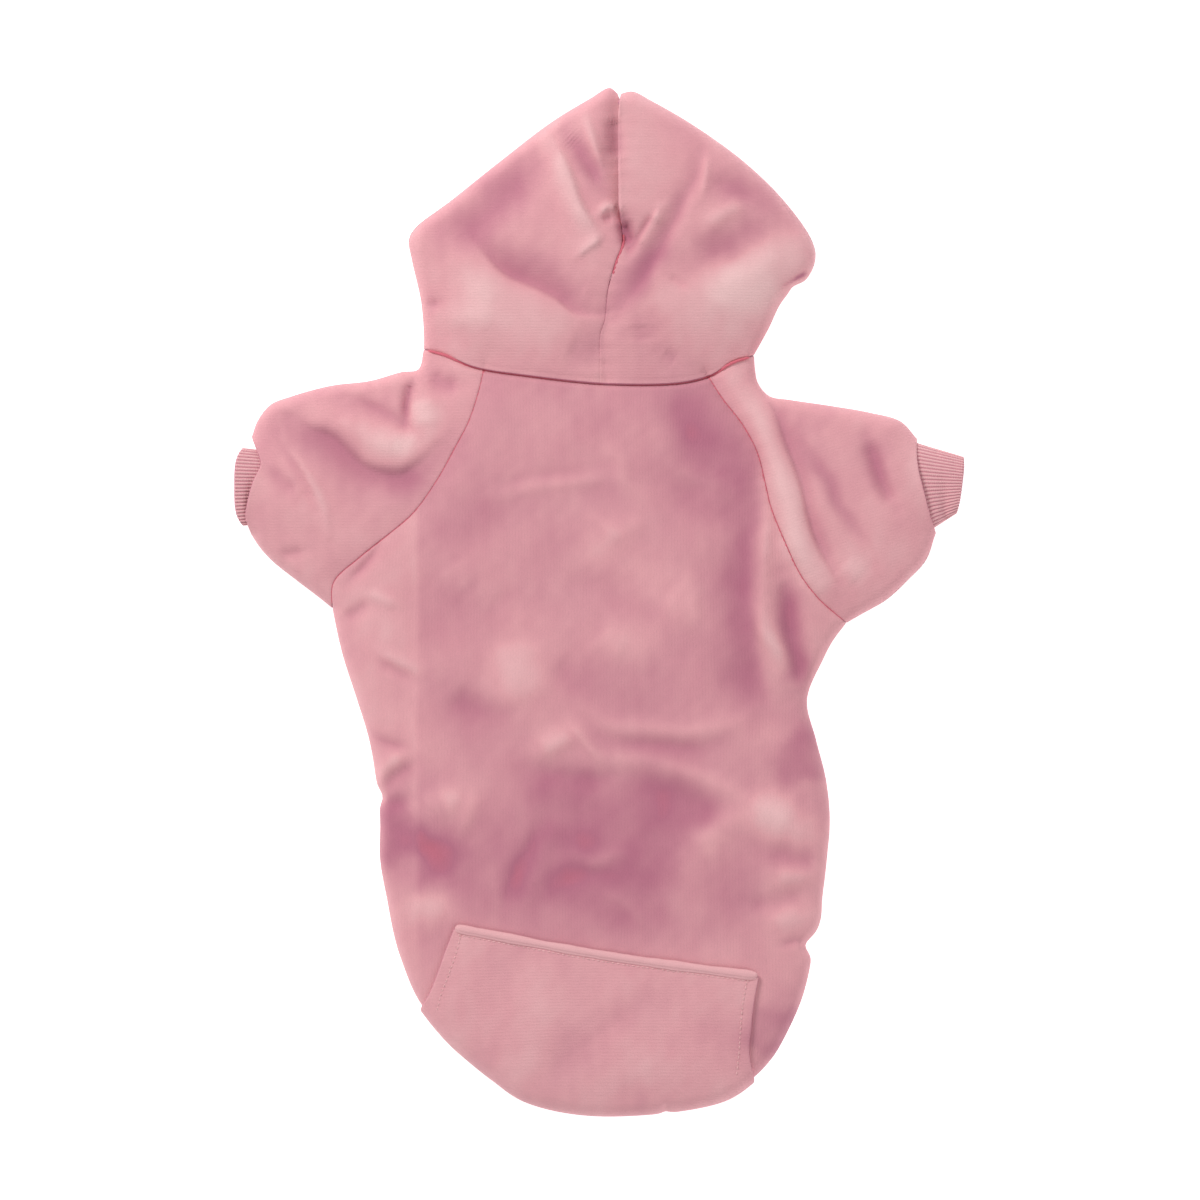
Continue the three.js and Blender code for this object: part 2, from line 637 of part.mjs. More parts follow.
// Belly panel between the side seams
function bellyPanel() {
  const sideSeam = (from, to) => besideEdge(from, to, (wrap) => wrap * squeeze(wrap) + SIDE_SEAM_GAP);
  const hemShare = BELLY_SHARE * TAIL_CORNER_LEFT;
  const top = stepAside(stretchOf(throatSeam, RAGLAN_START_LEFT, RAGLAN_START_RIGHT), -halfGap);
  const left = chain(stepAside(underRaglanLeft, halfGap), sideSeam(BELLY_START, hemShare));
  const right = chain(stepAside(underRaglanRight, -halfGap), sideSeam(1 - BELLY_START, 1 - hemShare));
  const footLeft = left.at(1);
  const footRight = right.at(1);
  const hemMiddle = footLeft.clone().lerp(footRight, 0.5).add(point(0, BELLY_HEM_RISE));
  const foot = splinePath([footLeft, hemMiddle, footRight]);
  const patch = patchBetween(top, foot, left, right);
  const surface = (u, v) => onFloor(patch(crowdEnds(u, BELLY_CROWDING), v));
  return clothSolid(surface, { columns: BELLY_COLUMNS, rows: BELLY_ROWS, thickness: CLOTH });
}

// A sleeve: a flat tube from the raglan seams and its part of the neck to the cuff seam
function sleeve(edges, raglan, underRaglan, neckStart, neckEnd) {
  const side = Math.sign(edges.underarm.x);
  const inward = -side * halfGap;
  const neckPart = stretchOf(neckSeam, neckStart, neckEnd);
  const throatPart = stretchOf(throatSeam, neckStart, neckEnd);
  const base = stepAside(chain(backwards(raglan), neckPart), inward);
  const underBase = stepAside(chain(backwards(underRaglan), throatPart), inward);
  const end = splinePath([edges.lower.at(1), edges.upper.at(1)]);
  const across = patchBetween(base, end, edges.lower, edges.upper);
  const underAcross = patchBetween(underBase, end, edges.lower, edges.upper);
  const surface = (u, v) => {
    const share = (1 - Math.cos(2 * Math.PI * u)) / 2;
    const turn = u - Math.floor(u);
    return turn < 0.5 ? onTop(across(share, v)) : onFloor(underAcross(share, v));
  };
  return clothSolid(surface, {
    columns: SLEEVE_SIDES, rows: SLEEVE_ROWS, thickness: CLOTH, ring: true, flip: side > 0,
  });
}

// A cuff: a flat ribbed tube from its seam to its end. Each is a line in plan and the tube's height there.
function cuff(seam, end, floor) {
  const surface = (u, v) => {
    const angle = 2 * Math.PI * u;
    const lower = seam.lower.clone().lerp(end.lower, v);
    const upper = seam.upper.clone().lerp(end.upper, v);
    const p = lower.lerp(upper, (1 - Math.cos(angle)) / 2);
    const rise = Math.sign(Math.sin(angle)) * Math.pow(Math.abs(Math.sin(angle)), CUFF_ROUNDNESS);
    return new THREE.Vector3(p.x, p.y, floor + (mix(seam.height, end.height, v) / 2) * (1 + rise));
  };
  const flip = end.upper.x > seam.upper.x;
  return clothSolid(surface, {
    columns: CUFF_SIDES, rows: CUFF_ROWS, thickness: RIB_CLOTH, ring: true, flip, ribs: RIB_DEPTH,
  });
}

// Half of the hood: from the middle seam over the outer edge and back underneath to the face opening
function hoodPanel(edge, side) {
  const throatY = throatSeam.at(0.5).y;
  const foreheadY = FOREHEAD_UP * HOOD_HEIGHT;
  const seamTopY = SEAM_TOP_UP * HOOD_HEIGHT;
  const middle = stepAside(hoodSeam, -side * halfGap);
  const neckEnd = side < 0 ? 0 : 1;
  const neckHalf = stretchOf(neckSeam, NAPE_SHARE, neckEnd);
  const throatHalf = stretchOf(throatSeam, neckEnd, NAPE_SHARE);
  const faceEdge = (v) => {
    const y = mix(throatY, seamTopY, v);
    const share = THREE.MathUtils.clamp((y - throatY) / (foreheadY - throatY), 0, 1);
    const halfOpening = halfGap + (FACE_OPENING_WIDTH / 2) * Math.sin(Math.PI * share);
    return point(hoodSeam.at(v).x + side * halfOpening, y + halfGap);
  };
  const ease = HOOD_FOLD_EASE;
  const fromFold = (share) => (share * Math.abs(share) * (1 + ease)) / (Math.abs(share) + ease);
  const surface = (u, v) => {
    const notch = PEAK_NOTCH * Math.pow(Math.max(v, 0), PEAK_SHARPNESS);
    const fold = edge.at(v).add(point(side * notch, -notch));
    const bend = Math.pow(Math.max(1 - v, 0), NECK_BEND);
    const up = point(0, FOOT_GAP * bend);
    if (u < HOOD_FOLD_SHARE) {
      const share = fromFold(1 - u / HOOD_FOLD_SHARE);
      const straight = fold.clone().lerp(middle.at(v), share);
      const neck = neckHalf.at(1 - share).sub(edge.at(0).lerp(middle.at(0), share));
      return onTop(straight.addScaledVector(neck, bend).add(up));
    }
    const share = fromFold((u - HOOD_FOLD_SHARE) / (1 - HOOD_FOLD_SHARE));
    const straight = fold.clone().lerp(faceEdge(v), share);
    const throat = throatHalf.at(share).sub(edge.at(0).lerp(faceEdge(0), share));
    return onFloor(straight.addScaledVector(throat, bend).add(up));
  };
  return clothSolid(surface, { columns: HOOD_COLUMNS, rows: HOOD_ROWS, thickness: CLOTH, flip: side < 0 });
}

// Pocket lying on the tail end of the back
const POCKET_CORNERS = {
  topLeft: onBody(-0.648, POCKET_TOP),
  topRight: onBody(0.7, POCKET_TOP + POCKET_SLANT / bodyBelowUnderarm),
  footLeft: onBody(-0.745, 0.772),
  footRight: onBody(0.654, 0.903),
};
const pocketTop = splinePath([
  POCKET_CORNERS.topLeft,
  POCKET_CORNERS.topLeft.clone().lerp(POCKET_CORNERS.topRight, 0.5).add(point(0, -POCKET_TOP_SAG)),
  POCKET_CORNERS.topRight,
]);

function pocketPanel() {
  const foot = splinePath([
    POCKET_CORNERS.footLeft,
    onBody(-0.633, 0.829),
    onBody(-0.432, 0.905),
    onBody(-0.2, 0.95),
    onBody(-0.01, 0.967),
    onBody(0.327, 0.956),
    onBody(0.514, 0.942),
    POCKET_CORNERS.footRight,
  ]);
  const top = stepAside(pocketTop, -ROLL_WIDTH / 2 - halfGap);
  const side = (from, to) => splinePath([from, to]);
  const patch = patchBetween(top, foot, side(top.at(0), foot.at(0)), side(top.at(1), foot.at(1)));
  const surface = (u, v) => onTop(patch(u, v));
  return clothSolid(surface, {
    columns: POCKET_COLUMNS, rows: POCKET_ROWS, thickness: POCKET_CLOTH, flip: true,
    lift: POCKET_CLEARANCE + POCKET_CLOTH,
  });
}

// Rolled edge along the top of the pocket
function pocketRoll() {
  const positions = [];
  const triangles = [];
  for (let j = 0; j <= ROLL_ROWS; j += 1) {
    const share = j / ROLL_ROWS;
    for (let i = 0; i < ROLL_SIDES; i += 1) {
      const angle = (Math.PI * i) / (ROLL_SIDES - 1);
      const p = stepAside(pocketTop, (Math.cos(angle) * ROLL_WIDTH) / 2).at(share);
      const height = onTop(pocketTop.at(share)).z + POCKET_CLEARANCE + Math.sin(angle) * ROLL_HEIGHT;
      positions.push(p.x, p.y, height);
    }
  }
  const at = (i, j) => j * ROLL_SIDES + (i % ROLL_SIDES);
  const quad = (a, b, c, d) => triangles.push(a, b, c, a, c, d);
  for (let j = 0; j < ROLL_ROWS; j += 1) {
    for (let i = 0; i < ROLL_SIDES; i += 1) quad(at(i, j), at(i + 1, j), at(i + 1, j + 1), at(i, j + 1));
  }
  for (let i = 1; i < ROLL_SIDES - 1; i += 1) {
    triangles.push(at(0, 0), at(i + 1, 0), at(i, 0));
    triangles.push(at(0, ROLL_ROWS), at(i, ROLL_ROWS), at(i + 1, ROLL_ROWS));
  }
  const geometry = new THREE.BufferGeometry();
  geometry.setAttribute('position', new THREE.Float32BufferAttribute(positions, 3));
  geometry.setIndex(triangles);
  geometry.computeVertexNormals();
  return geometry;
}

// Materials
const fleece = new THREE.MeshStandardMaterial({ color: 0xdea0a8, roughness: 0.95, metalness: 0 });
const ribKnit = new THREE.MeshStandardMaterial({ color: 0xd996a0, roughness: 0.95, metalness: 0 });

const hoodie = new THREE.Group();
function addPiece(name, geometry, material) {
  const mesh = new THREE.Mesh(geometry, material);
  mesh.name = name;
  hoodie.add(mesh);
}

addPiece('back_panel', backPanel(), fleece);
addPiece('belly_panel', bellyPanel(), fleece);

addPiece('left_sleeve', sleeve(leftEdges, raglanLeft, underRaglanLeft, RAGLAN_START_LEFT, 0), fleece);
addPiece('right_sleeve', sleeve(rightEdges, raglanRight, underRaglanRight, RAGLAN_START_RIGHT, 1), fleece);

// The left cuff is tucked up inside its sleeve, so it stands on the sleeve's lower cloth
const leftCuffStart = leftEdges.cuffUpper.x + CUFF_LENGTH;
const leftCuffSeam = {
  lower: point(leftCuffStart, leftEdges.cuffLower.y + LEFT_CUFF_INSET),
  upper: point(leftCuffStart, leftEdges.cuffUpper.y - LEFT_CUFF_INSET),
  height: LEFT_CUFF_HEIGHT,
};
const leftCuffEnd = { lower: leftEdges.cuffLower, upper: leftEdges.cuffUpper, height: LEFT_CUFF_HEIGHT };
addPiece('left_cuff', cuff(leftCuffSeam, leftCuffEnd, CLOTH + halfGap), ribKnit);

const rightCuffSeam = {
  lower: rightEdges.lower.at(1).add(point(RIGHT_CUFF_GAP, 0)),
  upper: rightEdges.upper.at(1).add(point(RIGHT_CUFF_GAP, 0)),
  height: CUFF_HEIGHT,
};
const rightCuffEnd = {
  lower: rightEdges.cuffLower,
  upper: rightEdges.cuffUpper,
  height: RIGHT_CUFF_END_HEIGHT,
};
addPiece('right_cuff', cuff(rightCuffSeam, rightCuffEnd, RIB_DEPTH / 2), ribKnit);

addPiece('hood_left_panel', hoodPanel(hoodEdgeLeft, -1), fleece);
addPiece('hood_right_panel', hoodPanel(hoodEdgeRight, 1), fleece);
addPiece('pocket_panel', pocketPanel(), fleece);
addPiece('pocket_roll', pocketRoll(), fleece);

// The origin goes to the middle of the outer box, at the floor
const box = new THREE.Box3().setFromObject(hoodie);
hoodie.position.set(-(box.min.x + box.max.x) / 2, -(box.min.y + box.max.y) / 2, -box.min.z);

export default hoodie;
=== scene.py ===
import math

import bpy
import numpy as np
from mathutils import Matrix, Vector


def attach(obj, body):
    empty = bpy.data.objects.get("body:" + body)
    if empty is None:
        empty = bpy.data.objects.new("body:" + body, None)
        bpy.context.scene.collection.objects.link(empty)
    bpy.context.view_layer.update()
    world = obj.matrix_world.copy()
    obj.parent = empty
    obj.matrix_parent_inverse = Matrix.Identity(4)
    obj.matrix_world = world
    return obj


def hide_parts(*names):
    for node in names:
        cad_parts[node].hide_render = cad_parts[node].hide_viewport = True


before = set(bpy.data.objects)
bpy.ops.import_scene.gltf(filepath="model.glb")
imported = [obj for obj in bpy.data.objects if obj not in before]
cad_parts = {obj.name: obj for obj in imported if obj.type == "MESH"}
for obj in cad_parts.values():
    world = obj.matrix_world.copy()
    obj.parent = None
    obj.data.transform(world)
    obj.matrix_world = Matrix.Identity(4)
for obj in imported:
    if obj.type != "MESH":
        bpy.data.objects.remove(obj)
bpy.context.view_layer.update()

# Driving sizes, as in the solids
NAPE = np.array([0.21, 104.66])
PART_STEP = np.array([0.0, 0.9, 0.0])
BACK_LENGTH = 350.0
UNDERARM_DEPTH = 106.0
HALF_WIDTH = 107.0
NECK_HALF_WIDTH = 80.0
NECK_SCOOP = 17.0
THROAT_SCOOP = 14.0
SLEEVE_LENGTH = 60.0
HOOD_HEIGHT = 141.0
HOOD_HALF_WIDTH = 97.0
FACE_OPENING_WIDTH = 62.0
CUFF_LENGTH = 16.5
CUFF_HEIGHT = 17.0
LEFT_CUFF_SHOWING = 7.5
CLOTH = 2.0
RIB_CLOTH = 1.6
RIB_PITCH = 2.2
RIB_DEPTH = 0.55
SIDE_WRAP = 24.0
BELLY_SHARE = 0.42
FOLD_HEIGHT = 6.0
EDGE_RISE = 7.0
EDGE_RADIUS = 6.0
BODY_PUFF = 11.0
HOOD_PUFF = 15.0
PUFF_REACH = 25.0
POCKET_CLOTH = 1.6
POCKET_CLEARANCE = 0.4
POCKET_TOP = 0.635
POCKET_SLANT = 23.0
ROLL_WIDTH = 4.6
ROLL_HEIGHT = 2.8
HAIRLINE = -0.06
STITCH_PITCH = 2.4
CORNER_SMOOTHING = 90
RIM = 0.5
RIM_STEPS = 3
SLEEVE_LEAN = 4
NECK_TUCK = 1.5
NECK_OVERLAP = 0.9
RAGLAN_START_LEFT = 0.19
NAPE_SHARE = 0.53
RAGLAN_START_RIGHT = 0.845
FOREHEAD_UP = 0.7
SEAM_TOP_UP = 0.9
TAIL_START = 0.36
HEM = 4.6
STITCH_LENGTH = 1.7
THREAD_RADIUS = 0.33
SEAM_SHADE_CORD_RADIUS = 0.7
CUFF_RIBS = 50
SEAM_STEP = 1.2
PUCKER_PITCH = 7.3
NECK_DROP = 3.2
HOOD_EDGE_DROP = 0.9
RELIEF_FADE = 4.0
LEAST_RISE = 0.15
# Depth of the folds that gives one step of painted shade in their hollows and of painted highlight on their
# crests
FOLD_DEPTH_PER_SHADE = 4.4
TONE_LIMIT = 1.2
# Painted shade on the cloth that lies underneath, on its inside and on its cut edges
UNDERSIDE_SHADE = 0.2
INSIDE_SHADE = 0.3
RIM_SHADE = 0.9
# Painted shade darkens the middle of the back between these lines: across on its left and right, and up from
# the pocket
BACK_SHADE = 0.3
BACK_SHADE_LEFT = (-89, -85)
BACK_SHADE_RIGHT = (70, 84)
BACK_SHADE_LOW = (-190, -150)

# Body outline below the underarms: down, left, right
BODY_OUTLINE = [
    (0.075, -1.17, 1.04), (0.112, -1.148, 0.996), (0.19, -1.09, 0.925), (0.268, -1.036, 0.965),
    (0.347, -1.005, 1.01), (0.425, -0.987, 1.027), (0.503, -0.987, 1.014), (0.581, -0.956, 0.992),
    (0.66, -0.92, 0.958), (0.705, -0.888, 0.943), (0.777, -0.818, 0.902), (0.855, -0.679, 0.822),
    (0.894, -0.581, 0.768), (0.933, -0.469, 0.683), (0.973, -0.331, 0.54),
]
TAIL_TIP = (-0.013, 1.0)
# Hood outline from the neck to the peak: across, up
HOOD_LEFT = [
    (-0.872, 0.156), (-0.887, 0.274), (-0.931, 0.41), (-0.946, 0.478), (-0.916, 0.518), (-0.739, 0.613),
    (-0.493, 0.749), (-0.236, 0.884), (-0.049, 0.962), (0.049, 1.0),
]
HOOD_RIGHT = [
    (0.828, 0.173), (0.902, 0.274), (1.025, 0.352), (1.062, 0.417), (1.044, 0.478), (0.907, 0.613),
    (0.705, 0.749), (0.443, 0.878), (0.246, 0.956), (0.158, 0.987),
]
HOOD_PEAK = (0.094, 0.983)
HOOD_SEAM = [
    (0.03, 0.0), (0.018, 0.156), (0.037, 0.207), (0.047, 0.309), (0.082, 0.404), (0.111, 0.461),
    (0.104, 0.563), (0.098, 0.75), (0.096, 0.9),
]
NECK_SEAM = [
    (-1.058, 0.9), (-0.926, 0.73), (-0.711, 0.42), (-0.478, 0.25), (0.03, 0.0), (0.478, 0.03),
    (0.664, 0.25), (0.776, 0.5), (0.92, 0.72),
]
# Raglan seams as shares of the way to the underarm: down, out
RAGLAN_LEFT = [
    (0.111, 0.04), (0.238, 0.106), (0.344, 0.194), (0.475, 0.31), (0.61, 0.463), (0.699, 0.626),
    (0.796, 0.82), (0.894, 0.985),
]
RAGLAN_RIGHT = [
    (0.108, 0.12), (0.216, 0.267), (0.328, 0.37), (0.444, 0.422), (0.54, 0.462), (0.672, 0.555),
    (0.812, 0.674), (0.908, 0.808),
]
# Sleeve ends from the lower to the upper corner
LEFT_SLEEVE_END = [(-169.2, 39.2), (-168.3, 45.4), (-165.4, 56.4), (-161.8, 65.5), (-164, 72)]
RIGHT_SLEEVE_END = [(157.6, 40.2), (154.8, 50.2), (151.9, 62), (151.2, 70)]
# Sleeve outlines: out, down
LEFT_SLEEVE = {
    "underarm": (1.2, 1.024), "reach": 1.0, "beyond": LEFT_CUFF_SHOWING, "slant": 0.0, "ends": (0.303, 0.65),
    "upper": [(0.03, -0.058), (0.13, -0.045), (0.31, -0.005), (0.54, 0.018), (0.775, 0.068), (0.89, 0.104),
              (0.965, 0.176), (1.0, 0.25)],
    "lower": [(1.0, 0.695), (0.92, 0.74), (0.755, 0.808), (0.45, 0.897), (0.14, 0.983)],
}
RIGHT_SLEEVE = {
    "underarm": (1.1, 1.092), "reach": 0.742, "beyond": CUFF_LENGTH, "slant": 1.65, "ends": (0.342, 0.595),
    "upper": [(0.006, -0.058), (0.024, 0.005), (0.092, 0.063), (0.221, 0.081), (0.466, 0.108), (0.712, 0.14),
              (0.902, 0.18), (1.0, 0.258)],
    "lower": [(1.27, 0.686), (1.127, 0.808), (0.873, 0.897), (0.562, 0.988), (0.195, 1.056)],
}

# Folds: height, spread to the left and to the right of the line as it runs, sharpness (1 a crease, 2 round),
# and the line itself in millimetres
FOLDS = [
    # Hood, left half
    (3.0, 3.0, 5.5, 2.2, [(-25, 221), (-16, 202), (-8, 183), (-3, 173)]),
    (-2.4, 5.0, 4.0, 2.0, [(-17, 223), (-6, 209), (1, 197)]),
    (1.5, 2.4, 2.4, 2.0, [(-7.5, 234), (-2, 215), (2, 203)]),
    (-2.4, 4.0, 5.0, 2.0, [(5, 232), (6.5, 217), (7, 208)]),
    (2.0, 2.4, 2.4, 2.0, [(0, 184), (4.5, 188), (8.5, 186)]),
    (-1.4, 2.2, 2.2, 2.0, [(1, 181), (6, 182)]),
    (1.4, 3.0, 1.6, 1.8, [(-12, 163), (-5, 168), (0, 172)]),
    (-3.0, 9.0, 2.0, 1.6, [(-59, 172.5), (-46, 158), (-32, 150.6), (-19.6, 144.4), (-11, 137), (0, 137)]),
    (1.2, 6.0, 8.0, 2.0, [(-62, 160), (-50, 150), (-36, 143), (-20, 136)]),
    (-2.6, 9.0, 10.0, 2.0, [(-76, 176), (-60, 180), (-46, 191), (-31, 206)]),
    (-1.4, 2.5, 2.5, 1.8, [(-86, 141), (-76, 142)]),
    (1.0, 6.0, 6.0, 2.0, [(-76, 134), (-48, 134)]),
    (-1.4, 8.0, 8.0, 2.0, [(-16, 122), (-6, 118), (2, 116)]),
    # Hood, right half
    (-5.4, 3.0, 3.0, 1.9, [(11, 181), (12.5, 175), (14, 169)]),
    (-2.6, 2.0, 4.5, 1.6, [(15, 168), (20, 174), (26, 184)]),
    (2.8, 4.0, 2.0, 1.8, [(29, 187), (23, 176), (17, 167)]),
    (-2.4, 3.0, 6.0, 1.8, [(49, 214), (43, 198), (34, 177), (24, 160), (12, 143), (6, 134)]),
    (1.2, 2.2, 2.2, 2.0, [(51, 214), (49, 192)]),
    (-1.6, 6.0, 6.0, 2.0, [(52, 198), (62, 198), (74, 190)]),
    (1.4, 4.0, 4.0, 2.0, [(50, 177), (60, 184), (69, 191)]),
    (-2.0, 9.0, 9.0, 2.0, [(43, 160), (62, 169), (82, 180)]),
    (1.6, 9.0, 12.0, 2.0, [(38, 138), (67, 153), (95, 166)]),
    (-0.9, 2.0, 2.0, 1.6, [(33, 155), (42, 148)]),
    (-1.0, 7.0, 7.0, 2.0, [(19, 132), (20, 122)]),
    (-0.8, 4.0, 4.0, 2.0, [(30, 118), (37, 113)]),
    (-1.4, 2.0, 2.0, 1.8, [(98, 170), (101.5, 160), (96, 154)]),
    # Left sleeve
    (-3.4, 3.5, 9.0, 1.8, [
        (-147, 86), (-140, 80), (-131, 76), (-120, 69), (-108, 61), (-95, 59), (-83, 66), (-78, 72),
    ]),
    (2.0, 7.0, 6.0, 2.0, [(-129, 88), (-115, 81), (-102, 76), (-91, 73)]),
    (-1.8, 2.5, 3.5, 1.6, [(-119, 98), (-108, 92), (-97, 86), (-90, 81), (-86, 76)]),
    (-3.6, 1.6, 2.4, 1.5, [(-90, 106), (-92, 96), (-91.5, 84)]),
    (1.6, 6.0, 6.0, 2.0, [(-85, 98), (-83, 88), (-83, 80)]),
    (-2.4, 4.5, 4.5, 2.0, [(-82, 108), (-75, 103), (-66, 103)]),
    (1.3, 2.2, 2.2, 1.8, [(-152, 86), (-149, 75), (-141, 64), (-135, 53), (-131, 42), (-130, 31)]),
    (-1.2, 3.0, 3.0, 2.0, [(-153, 80), (-146, 67), (-140, 55), (-135, 42)]),
    (-1.8, 4.0, 5.0, 2.0, [(-162, 66), (-154, 58), (-144, 49)]),
    (-1.2, 3.0, 3.0, 1.8, [(-153, 20), (-141, 23)]),
    (-0.9, 1.5, 2.0, 1.6, [(-119, 11), (-109, 19), (-103, 26)]),
    # Right sleeve
    (3.0, 5.5, 5.5, 2.2, [(64, 106), (72, 92), (80.5, 75), (87, 55), (92, 36), (99, 19), (106, 8)]),
    (-2.6, 5.0, 1.8, 1.7, [(76, 102), (84, 89), (89, 77), (95, 59), (101, 36), (107, 19), (113, 9)]),
    (-1.6, 3.0, 4.0, 2.0, [(94, 80), (110, 54), (120, 38), (130, 18)]),
    (-3.2, 4.0, 5.0, 1.8, [(127, 78), (131, 68), (136, 56), (142, 44)]),
    (1.4, 7.0, 7.0, 2.0, [(114, 18), (124, 10)]),
    (1.0, 4.0, 4.0, 2.0, [(148, 74), (152, 54), (156, 36)]),
    # Back, from the neck down to the middle
    (0.8, 4.0, 3.0, 2.0, [(-50, 49), (-29, 54), (-5, 57), (10, 58)]),
    (-0.5, 3.0, 3.0, 2.0, [(-48, 55), (-26, 59), (-4, 62)]),
    (0.7, 4.0, 4.0, 2.0, [(0, 76), (10, 67), (12, 57), (19, 48)]),
    (0.6, 4.0, 4.0, 2.0, [(26, 76), (38, 62), (67, 54)]),
    (-1.6, 14.0, 12.0, 2.0, [(24, 100), (43, 81), (62, 57), (67, 48)]),
    (-1.0, 9.0, 9.0, 2.0, [(43, 62), (48, 43), (67, 33)]),
    (0.6, 2.5, 2.5, 2.0, [(-5, 43), (5, 33), (12, 26)]),
    (0.8, 6.0, 5.0, 2.0, [(0, 26), (12, 33), (24, 38)]),
    (0.8, 9.0, 9.0, 2.0, [(-72, 19), (-67, 12), (-60, 6)]),
    (1.8, 11.0, 11.0, 2.0, [(-2, -14), (6, -20), (14, -24)]),
    (1.6, 12.0, 10.0, 2.0, [(31, 4), (40, -2), (50, -3)]),
    (2.2, 12.0, 12.0, 2.0, [(-43, -17), (-41, -30), (-39, -43), (-37, -52)]),
    (-1.6, 9.0, 9.0, 2.0, [(-70, -44), (-62, -50), (-55, -52)]),
    (-0.9, 8.0, 8.0, 2.0, [(-22, -30), (-14, -36)]),
    (-0.7, 7.0, 7.0, 2.0, [(-50, 2), (-44, -3)]),
    (-0.7, 8.0, 8.0, 2.0, [(-20, 10), (0, 6), (16, 0)]),
    # Back, the creases across its middle
    (1.2, 4.0, 4.0, 1.9, [(-16, -47), (-6, -53), (5, -60), (23, -62.5), (44, -62), (66, -58), (76, -51)]),
    (-1.2, 3.5, 6.0, 1.9, [(0, -66), (19, -70), (38, -71), (56, -68)]),
    (2.2, 5.0, 4.0, 1.9, [(-29, -73), (-20, -68), (-12, -64)]),
    (1.6, 3.5, 1.8, 1.6, [(-14, -58), (-8, -66), (-1, -75)]),
    (-1.4, 5.0, 5.0, 2.0, [(-36, -80), (-22, -84), (-6, -86), (8, -84)]),
    (1.3, 4.0, 5.0, 2.0, [(-2, -74), (13, -74), (34, -80), (55, -88), (72, -96)]),
    (-1.6, 7.0, 9.0, 2.0, [(8, -84), (29, -91), (48, -99), (60, -104)]),
    (2.6, 9.0, 9.0, 2.0, [(70, -98), (82, -101), (94, -106)]),
    (1.8, 6.0, 8.0, 1.9, [(44, -123), (58, -110), (74, -99)]),
    (-2.2, 6.0, 5.0, 1.9, [(78, -119), (92, -123), (106, -126)]),
    (1.8, 6.0, 5.0, 1.9, [(84, -132), (94, -131), (103, -128)]),
    (-1.6, 5.0, 5.0, 1.9, [(70, -143), (84, -144), (98, -140)]),
    (1.4, 6.0, 5.0, 2.0, [(82, -154), (96, -149)]),
    (-1.4, 2.5, 2.5, 1.7, [(101, -164), (94, -163), (86, -165)]),
    # Back, towards the pocket
    (2.2, 7.0, 8.0, 2.0, [(-82, -100), (-74, -96), (-65, -98)]),
    (-1.6, 9.0, 8.0, 2.0, [(-98, -100), (-99, -120), (-96, -138)]),
    (1.4, 9.0, 9.0, 2.0, [(-90, -142), (-82, -146), (-72, -150)]),
    (-1.6, 5.0, 6.0, 2.0, [(-84, -112), (-80, -122), (-72, -134)]),
    (1.0, 2.6, 3.5, 1.8, [(-60, -92), (-62, -102), (-66, -112)]),
    (-1.4, 5.0, 3.0, 1.9, [(-27, -104), (-34, -118), (-42, -136), (-47, -150)]),
    (0.8, 4.0, 4.0, 2.0, [(-20, -106), (-28, -124), (-34, -142)]),
    (0.7, 3.0, 3.0, 2.0, [(-24, -126), (-12, -122), (-2, -126), (10, -122), (18, -126)]),
    (-0.8, 4.0, 4.0, 2.0, [(-22, -134), (-6, -131), (12, -133)]),
    (0.6, 2.5, 2.5, 1.9, [(4, -140), (14, -146), (22, -156)]),
    # Left flank
    (0.4, 6.0, 2.2, 1.8, [(-88, 44), (-87, 0), (-87, -60), (-86, -145)]),
    (-0.9, 2.5, 2.5, 1.8, [(-121, 7), (-115, 14), (-104, 24)]),
    (1.4, 3.0, 3.0, 2.0, [(-112, 2), (-104, -1), (-98, -3)]),
    (-1.6, 3.0, 4.0, 2.0, [(-122, -8), (-115, -5), (-110, -3)]),
    (1.2, 3.0, 2.0, 1.8, [(-104, -25), (-94, -30), (-86, -35)]),
    (-1.0, 2.0, 3.0, 1.8, [(-106, -29), (-96, -34), (-89, -38)]),
    (-1.8, 2.0, 3.0, 1.6, [(-112, -62), (-103, -67), (-92, -71)]),
    (1.6, 4.0, 4.0, 2.0, [(-107, -85), (-101, -78), (-94, -74)]),
    (-2.0, 3.5, 3.5, 1.8, [(-106, -93), (-97, -84), (-88, -78)]),
    (-1.6, 3.0, 3.5, 1.8, [(-108, -96), (-98, -97), (-90, -94)]),
    # Right flank
    (-2.4, 4.0, 17.0, 1.7, [(76, 40), (73, 10), (72, -15), (75, -42), (80, -56)]),
    (2.4, 4.5, 4.0, 2.0, [(80, 54), (78, 36), (75, -2), (78, -14), (86, -25), (97, -52)]),
    (-4.2, 6.0, 6.0, 1.9, [(87, 12), (90, -6), (92, -24), (97, -44)]),
    (1.2, 5.0, 5.0, 2.0, [(88, 36), (97, 14), (106, -2)]),
    # Over the pocket
    (-1.1, 8.0, 8.0, 2.0, [(22, -189), (-8, -212), (-31, -230)]),
    (0.7, 10.0, 10.0, 2.0, [(-44, -186), (-30, -200), (-34, -214)]),
    (0.6, 8.0, 8.0, 2.0, [(-10, -232), (10, -226), (34, -222)]),
]
